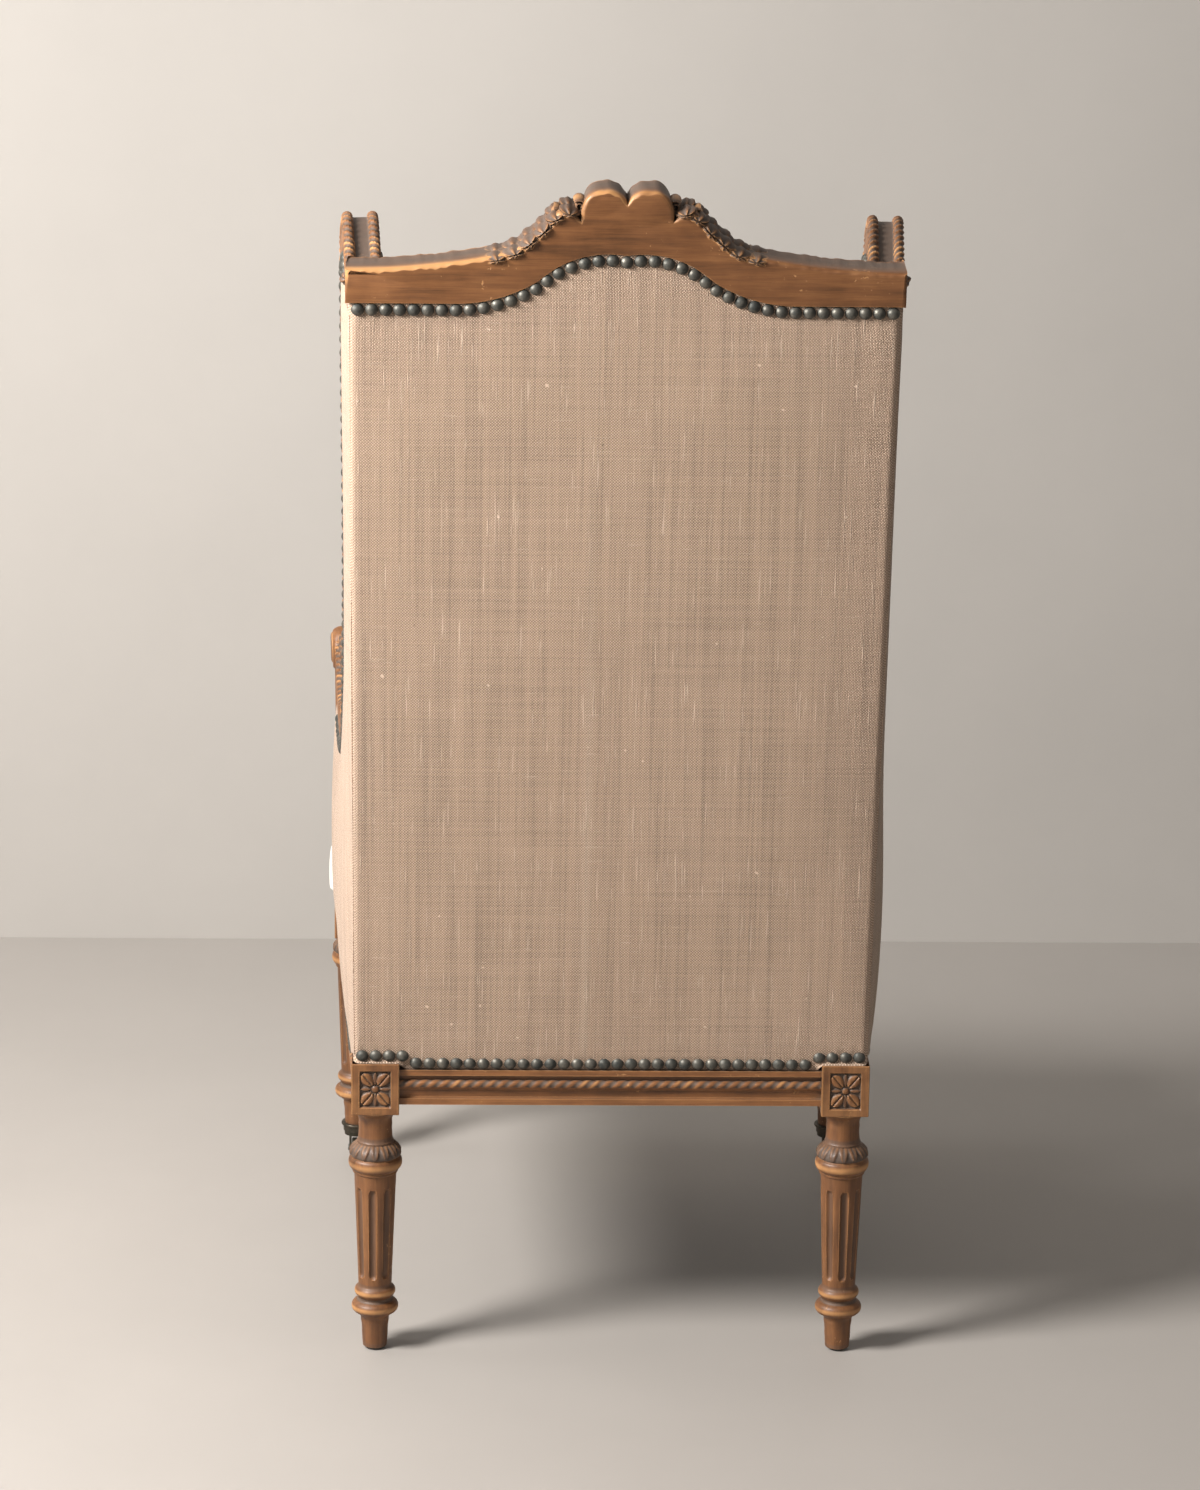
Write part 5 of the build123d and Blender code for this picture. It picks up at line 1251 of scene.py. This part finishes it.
# Padding: steps, pressure and stiffness of the cloth, thin cloth and the cushion's welts in metres
CLOTH_STEPS = 20
CLOTH_PRESSURE = 4.0
CLOTH_STIFFNESS = 12
THIN_CLOTH = 0.0008
SMOOTH_PAD = 70
WELT_HEIGHTS = (0.376, 0.408)
WELT_RADIUS = 0.0024


def stuffed(name, node, voxel, cap, hold, fill_out=None, shrink=0.0015):
    """A stuffed copy of a soft node: remeshed, filled out, blown up as cloth, held near its frame."""
    clear_selection()
    piece = NODES[node].copy()
    piece.data = NODES[node].data.copy()
    piece.name = name
    piece.parent = None
    for key in list(piece.keys()):
        del piece[key]
    bpy.context.scene.collection.objects.link(piece)
    close(piece, fill=False)
    modify(piece, "REMESH", mode="VOXEL", voxel_size=voxel, use_smooth_shade=True)
    edit(piece)
    bpy.ops.mesh.vertices_smooth(factor=0.5, repeat=3)
    bpy.ops.transform.shrink_fatten(value=-shrink)
    done()
    if fill_out:
        set_points(piece, fill_out(get_points(piece)))
    start = get_points(piece)
    free = hold(start)
    blow_up(piece, free)
    moved = get_points(piece) - start
    far = np.linalg.norm(moved, axis=1, keepdims=True)
    limit = cap * free[:, None]
    set_points(piece, start + moved * np.minimum(1, limit / np.maximum(far, 1e-9)))
    smooth(piece, SMOOTH_PAD)
    return piece


def blow_up(piece, free):
    """Runs the cloth under a little pressure and keeps the result."""
    pins = piece.vertex_groups.new(name="held")
    for index in np.nonzero(free < 0.05)[0]:
        pins.add([int(index)], 1.0, "REPLACE")
    cloth = piece.modifiers.new("cloth", "CLOTH")
    settings = cloth.settings
    settings.quality = 4
    settings.use_pressure = True
    settings.uniform_pressure_force = CLOTH_PRESSURE
    settings.effector_weights.gravity = 0.0
    settings.vertex_group_mass = "held"
    settings.tension_stiffness = CLOTH_STIFFNESS
    settings.compression_stiffness = CLOTH_STIFFNESS
    scene = bpy.context.scene
    for number in range(1, CLOTH_STEPS + 1):
        scene.frame_set(number)
    pick(piece)
    bpy.ops.object.modifier_apply(modifier=cloth.name)
    scene.frame_set(1)
    piece.vertex_groups.clear()


def piping(name, line, radius):
    """A sewn welt along a closed line of points."""
    ways = unit(np.roll(line, -1, 0) - np.roll(line, 1, 0))
    rings = rings_round(line, ways, (0, 0, 1.0), radius, circle(8))
    rings = np.concatenate([rings, rings[:1]])
    piece = grid(name, np.concatenate([rings, rings[:, :1]], axis=1))
    return close(piece, fill=False)


class CHAIR_OT_pads(bpy.types.Operator):
    """Stuffs the inside back, the wings and the arms"""

    bl_idname = "chair.pads"
    bl_label = "Inside pads"

    def execute(self, context):
        voxel = context.scene.chair_sizes.voxel
        white = finish("cotton", cotton)
        back = stuffed("inside_back", "inside_back_pad", voxel, 0.012, self.hold_back, self.widen_back)
        dress(back, white, nodes=["inside_back_pad"])
        for kind in ("wing", "arm"):
            pad = stuffed(f"left_inside_{kind}", f"left_inside_{kind}_pad", voxel * 0.75, 0.006,
                          self.hold_side, self.meet_at_split)
            for side, piece in mirrored(pad):
                dress(piece, white, nodes=[f"{side}_inside_{kind}_pad"])
        self.corner_cloths(white)
        return {"FINISHED"}

    @staticmethod
    def corner_cloths(white):
        """Tucks a strip of the white cover between the back pad and each wing pad, over the webbing."""
        near, far, low, high = 176.0, 218.0, 64.0, 765.5
        share = np.linspace(1, 0, 9)[None]
        up = np.linspace(low, high, 61)[:, None]
        depth = 39.5 + 4.0 * share ** 2 + 0.5 * np.sin(up * 0.09) * share * (1 - share) * 4
        left = grid("left_corner_cloth", back_point(near + (far - near) * share + 0 * up, up, -depth))
        thicken(left, THIN_CLOTH)
        for _, piece in mirrored(left):
            dress(piece, white)

    @staticmethod
    def depth_in_back(points):
        """Millimetres in front of the linen back."""
        behind = (points[:, 1] - REAR_Y - BACK_FOOT) * math.cos(RAKE)
        return -(behind - (points[:, 2] - RAIL_LINE) * math.sin(RAKE)) / MM

    @classmethod
    def hold_back(cls, points):
        """Held on the webbing and beside the wings, free in front."""
        beside = settle((np.abs(points[:, 0]) / MM - 150) / 35)
        return settle((cls.depth_in_back(points) - 46.5) / 22) * (1 - 0.85 * beside)

    @classmethod
    def widen_back(cls, points):
        """Fills the pad out to the wing pads, more in front than at its thin border."""
        front = settle((cls.depth_in_back(points) - 48) / 6)
        reach = np.abs(points[:, 0]) / MM
        push = (4 + 13 * front) * settle((reach - 90) / 75)
        points[:, 0] += np.sign(points[:, 0]) * push * MM
        return points

    @staticmethod
    def hold_side(points):
        """Held on the wood, free towards the seat."""
        return settle((depth_in_side(points) - 33) / 14)

    @staticmethod
    def meet_at_split(points):
        """Fills the wing and arm pads out to the seam where they meet."""
        above = points[:, 2] / MM - PAD_SPLIT
        front = settle((depth_in_side(points) - 30) / 8)
        push = (2.2 + 13 * front) * settle((62 - np.abs(above)) / 45)
        points[:, 2] -= np.sign(above) * np.minimum(push, np.abs(above) - 0.4) * MM
        return points


class CHAIR_OT_seat(bpy.types.Operator):
    """Stuffs the seat platform and its front border, and the loose cushion with its welts"""

    bl_idname = "chair.seat"
    bl_label = "Seat"

    def execute(self, context):
        voxel = context.scene.chair_sizes.voxel
        white = finish("cotton", cotton)
        deck = stuffed("seat_platform", "seat_deck", voxel * 0.9, 0.004,
                       self.hold_deck, self.seat_front, 0.001)
        deck = join("seat_platform", [deck, self.border()])
        smooth(deck, SMOOTH_PAD)
        dress(deck, white, nodes=["seat_deck", "front_border"])
        cushion = stuffed("loose_cushion", "seat_cushion", voxel, 0.014, self.hold_cushion, shrink=0.004)
        cushion = join("loose_cushion", [cushion] + self.welts(cushion))
        smooth(cushion, SMOOTH_PAD)
        dress(cushion, white, body="cushion", nodes=["seat_cushion"])
        return {"FINISHED"}

    @staticmethod
    def border():
        """The stuffed roll along the front of the seat."""
        low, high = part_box("front_border")
        across = low.x + (high.x - low.x) * np.linspace(0, 1, 80)
        c, s = np.cos(circle(16)), np.sin(circle(16))
        middle, half = (low + high) / 2, (high - low) / 2
        ring_y = middle.y + half.y * np.sign(c) * np.abs(c) ** 0.6
        ring_z = middle.z + half.z * np.sign(s) * np.abs(s) ** 0.4
        return tube("front_border_cover", np.stack(np.broadcast_arrays(across[:, None], ring_y, ring_z), 2))

    @staticmethod
    def seat_front(points):
        """Draws the platform's front rim down onto the blocks and the rail."""
        low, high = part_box("seat_deck")
        rim = np.maximum(np.abs(points[:, 0]) - high.x, low.y - points[:, 1]) / MM
        rim = settle((rim + 13) / 5) * settle((FRONT_Y / MM + 64 - points[:, 1] / MM) / 8)
        floor, top = points[:, 2].min(), low.z + 0.014
        drawn = RAIL_TOP + 0.0003 + (points[:, 2] - floor) * (top - RAIL_TOP - 0.0003) / (top - floor)
        points[:, 2] += np.where(points[:, 2] < top, drawn - points[:, 2], 0) * rim
        return points

    @staticmethod
    def hold_deck(points):
        """Held on the rails and on its flat top, free between them."""
        return settle((points[:, 2] - 0.3075) / 0.02) * settle((0.3445 - points[:, 2]) / 0.004)

    @staticmethod
    def hold_cushion(points):
        """Flat where it rests on the platform, free on top, with little room at the arms and the back."""
        low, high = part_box("seat_cushion")
        lift = settle((points[:, 2] - low.z - 0.012) / 0.03)
        beside = np.minimum(0.235 + (REAR_Y - points[:, 1]) * math.tan(FLARE) - 0.0485 - np.abs(points[:, 0]),
                            high.y - points[:, 1])
        return lift * (0.2 + 0.8 * settle((beside - 0.004) / 0.03))

    @staticmethod
    def welts(cushion):
        """Two sewn welts where the top and bottom panels meet the side strip."""
        points = get_points(cushion)
        centre = points.mean(axis=0)
        made = []
        for height in WELT_HEIGHTS:
            x, y = (points[np.abs(points[:, 2] - height) < 0.006] - centre)[:, :2].T
            angle = np.arctan2(y, x)
            order = np.argsort(angle)
            turn = np.linspace(-math.pi, math.pi, 260, endpoint=False)
            radius = np.interp(turn, angle[order], np.hypot(x, y)[order], period=2 * math.pi)
            radius = np.convolve(np.concatenate([radius[-3:], radius, radius[:3]]), np.ones(7) / 7, "valid")
            line = np.stack([centre[0] + np.cos(turn) * radius, centre[1] + np.sin(turn) * radius,
                             0 * turn + height], 1)
            made.append(piping("welt", line, WELT_RADIUS))
        return made


# Cloth under the seat, metres: how far it is cut back at the legs, how far it sags
LEG_NOTCH = 0.032
CLOTH_SAG = 0.004


class CHAIR_OT_underside(bpy.types.Operator):
    """Hangs the black cloth under the seat and paints the hidden frame"""

    bl_idname = "chair.underside"
    bl_label = "Underside"

    def execute(self, context):
        low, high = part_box("dust_cover")
        share = np.linspace(-1, 1, 41)[None]
        rise = np.linspace(0, 1, 41)[:, None]
        y = low.y + (high.y - low.y) * rise
        notch = LEG_NOTCH * ((rise < 0.05) | (rise > 0.95)) + 0.0005 * ((rise < 0.07) | (rise > 0.93))
        half = high.x - (high.y - low.y) * rise * math.tan(FLARE) - notch
        sag = CLOTH_SAG * (1 - share ** 4) * np.sin(math.pi * rise) ** 0.5
        z = high.z - 0.0004 - sag
        piece = grid("underside_cloth", np.stack(np.broadcast_arrays(half * share, y, z), 2))
        thicken(piece, THIN_CLOTH)
        dress(piece, finish("cambric", cambric), nodes=["dust_cover"])
        for node in ("corner_blocks", "back_tack_rail", "left_tack_rail", "right_tack_rail"):
            paint_node(node, finish("beech", plain_wood))
        for node in ("seat_webbing", "back_webbing"):
            paint_node(node, finish("webbing", jute, (0.36, 0.27, 0.16)))
        paint_node("seat_hessian", finish("hessian", jute, (0.42, 0.31, 0.17)))
        return {"FINISHED"}


class CHAIR_OT_metal(bpy.types.Operator):
    """Finishes the nails, the casters, the glides and the screws"""

    bl_idname = "chair.metal"
    bl_label = "Metal"

    def execute(self, context):
        nails = finish("bronze", bronze)
        brass = finish("caster_brass", patinated, (0.070, 0.055, 0.040), 0.40, 0.0)
        steel = finish("dull_steel", patinated, (0.22, 0.21, 0.20), 0.42, 0.0)
        for node in ("back_top_nails", "back_bottom_nails", "front_nails"):
            paint_node(node, nails)
        for side in SIDES:
            for kind in ("outside_nails", "inside_nails"):
                paint_node(f"{side}_{kind}", nails)
            for kind in ("caster_cup", "caster_fork", "caster_wheel"):
                paint_node(f"{side}_{kind}", brass)
            paint_node(f"{side}_caster_axle", steel)
        paint_node("rear_glides", steel)
        paint_node("corner_block_screws", steel)
        return {"FINISHED"}


# Stage: strength of the light all round, colours, and sizes in metres
SOFT_LIGHT = 0.285
SKY = (1.0, 0.985, 0.97)
BACKDROP = (0.60, 0.575, 0.55)
FLOOR = (0.385, 0.358, 0.331)
WALL = (0.455, 0.43, 0.40)
WALL_Y, WALL_HEIGHT = -1.03, 6
ROOM_WIDTH, ROOM_DEPTH = 14.0, 12

# Lamps: name, place, target, size, power, colour
LAMPS = (
    ("key", (1.72, 1.06, 1.85), (0.0, 0.0, 0.6), 0.85, 128.0, (1.0, 0.97, 0.94)),
    ("fill", (-1.4, 4.5, 2.6), (0.0, 0.0, 0.4), 3.0, 6.0, (1.0, 0.98, 0.96)),
    ("wash", (1.9, -0.2, 3.0), (1.1, WALL_Y, 1.9), 1.0, 16.0, (1.0, 0.98, 0.96)),
)

# Camera: its turns in degrees, its target and distance in metres, its lens and sensor in millimetres
CAMERA_YAW, CAMERA_PITCH, CAMERA_ROLL = 1.6953, 16.3423, 0.8115
CAMERA_TARGET = (0.00661, REAR_Y - 0.250, 0.52785)
CAMERA_AWAY = 5.52773
CAMERA_LENS, CAMERA_SENSOR = 137.04, 36.0


def wash(name, tone, rough):
    """Plain pale plaster or floor."""
    paint = Paint(name)
    clouds = paint.noise(paint.place(), 1.3, 5.0, 0.6)
    mottled = paint.mix(paint.step(clouds, 0.35, 0.65), tint(tone, 0.93), tone)
    paint.give(Base_Color=mottled, Roughness=rough)
    return paint


def ground(name, tone, rough):
    """A pale floor that fades into the backdrop well away from the chair."""
    paint = wash(name, tone, rough)
    away = paint.node("ShaderNodeVectorMath", {"operation": "LENGTH"}, {0: paint.place()}, output=1)
    fade = paint.step(away * 0.1, 0.22, 0.75) * paint.node("ShaderNodeLightPath")
    paint.give(Emission_Color=paint.mix(fade, (0.0, 0.0, 0.0), BACKDROP), Emission_Strength=1.0)
    return paint


def plaster(name, tone):
    """A wall that shows only from the chair's side of the room."""
    paint = wash(name, tone, 0.8)
    behind = paint.node("ShaderNodeNewGeometry", output=6)
    clear = paint.node("ShaderNodeBsdfTransparent")
    solid = Value(paint, paint.shader.outputs[0])
    sided = paint.node("ShaderNodeMixShader", None, {0: behind, 1: solid, 2: clear})
    paint.feed(paint.tree.nodes["Material Output"].inputs[0], sided)
    return paint


class CHAIR_OT_stage(bpy.types.Operator):
    """Sets the floor, the wall, the soft light and the camera"""

    bl_idname = "chair.stage"
    bl_label = "Stage"

    def execute(self, context):
        across, deep = (-ROOM_WIDTH, ROOM_WIDTH), (-ROOM_DEPTH, ROOM_DEPTH)
        floor = grid("floor", np.array([[(x, y, 0) for x in across] for y in deep]))
        floor.data.materials.append(finish("floor", ground, FLOOR, 0.55))
        wall = grid("wall", np.array([[(-x, WALL_Y, z) for x in across] for z in (0, WALL_HEIGHT)]))
        wall.data.materials.append(finish("wall", plaster, WALL))
        for lamp in LAMPS:
            self.lamp(*lamp)
        self.room(context)
        self.camera(context)
        context.scene.view_settings.view_transform = "Standard"
        return {"FINISHED"}

    @staticmethod
    def room(context):
        """Soft light from all round, with a paler backdrop where the camera looks past the floor."""
        context.scene.world = bpy.data.worlds.new("room")
        paint = Paint("room", context.scene.world)
        soft = paint.tree.nodes["Background"]
        paint.feed(soft.inputs["Color"], SKY)
        paint.feed(soft.inputs["Strength"], SOFT_LIGHT)
        pale = paint.node("ShaderNodeBackground", None, {"Color": BACKDROP})
        seen = paint.node("ShaderNodeLightPath")
        mixed = paint.node("ShaderNodeMixShader", None, {0: seen, 1: Value(paint, soft.outputs[0]), 2: pale})
        paint.feed(paint.tree.nodes["World Output"].inputs[0], mixed)

    @staticmethod
    def lamp(name, place, target, size, power, colour):
        """A round lamp that the camera doesn't see, turned to a target."""
        light = bpy.data.lights.new(name, "AREA")
        light.shape = "DISK"
        light.size = size
        light.energy = power
        light.color = colour
        lamp = bpy.data.objects.new(name, light)
        bpy.context.scene.collection.objects.link(lamp)
        lamp.visible_camera = False
        lamp.location = place
        lamp.rotation_euler = (Vector(target) - Vector(place)).to_track_quat("-Z", "Y").to_euler()

    @staticmethod
    def camera(context):
        """Looks at the back of the chair from a little above, slightly tilted."""
        yaw, pitch, roll = (math.radians(turn) for turn in (CAMERA_YAW, CAMERA_PITCH, CAMERA_ROLL))
        away = Vector((math.sin(yaw) * math.cos(pitch), math.cos(yaw) * math.cos(pitch), math.sin(pitch)))
        right = (-away).cross(Vector((0, 0, 1))).normalized()
        up = right.cross(-away)
        turned_right = right * math.cos(roll) + up * math.sin(roll)
        turned_up = up * math.cos(roll) - right * math.sin(roll)
        lens = bpy.data.cameras.new("camera")
        lens.lens = CAMERA_LENS
        lens.sensor_width = CAMERA_SENSOR
        lens.sensor_fit = "AUTO"
        camera = bpy.data.objects.new("camera", lens)
        context.scene.collection.objects.link(camera)
        turn = Matrix((turned_right, turned_up, away)).transposed().to_4x4()
        camera.matrix_world = Matrix.Translation(Vector(CAMERA_TARGET) + away * CAMERA_AWAY) @ turn
        context.scene.camera = camera


PIECES = (
    CHAIR_OT_stage, CHAIR_OT_back_linen, CHAIR_OT_side_linen, CHAIR_OT_crest, CHAIR_OT_wings, CHAIR_OT_legs,
    CHAIR_OT_rails, CHAIR_OT_pads, CHAIR_OT_seat, CHAIR_OT_underside, CHAIR_OT_metal,
)


class CHAIR_PT_panel(bpy.types.Panel):
    """Lists the steps that dress the chair"""

    bl_idname = "CHAIR_PT_panel"
    bl_label = "Wingback chair"
    bl_space_type = "VIEW_3D"
    bl_region_type = "UI"
    bl_category = "Chair"

    def draw(self, context):
        for group in (context.scene.chair_sizes, context.scene.chair_colours):
            for name in group.__annotations__:
                self.layout.prop(group, name)
        for step in PIECES:
            self.layout.operator(step.bl_idname)


CLASSES = (ChairSizes, ChairColours) + PIECES + (CHAIR_PT_panel,)


def register():
    for one in CLASSES:
        bpy.utils.register_class(one)
    bpy.types.Scene.chair_sizes = PointerProperty(type=ChairSizes)
    bpy.types.Scene.chair_colours = PointerProperty(type=ChairColours)


def unregister():
    del bpy.types.Scene.chair_colours
    del bpy.types.Scene.chair_sizes
    for one in reversed(CLASSES):
        bpy.utils.unregister_class(one)


def main():
    """Dresses the chair."""
    register()
    bpy.ops.chair.stage()
    bpy.ops.chair.back_linen()
    bpy.ops.chair.side_linen()
    bpy.ops.chair.crest()
    bpy.ops.chair.wings()
    bpy.ops.chair.legs()
    bpy.ops.chair.rails()
    bpy.ops.chair.pads()
    bpy.ops.chair.seat()
    bpy.ops.chair.underside()
    bpy.ops.chair.metal()
    clear_selection()


if __name__ == "__main__":
    main()
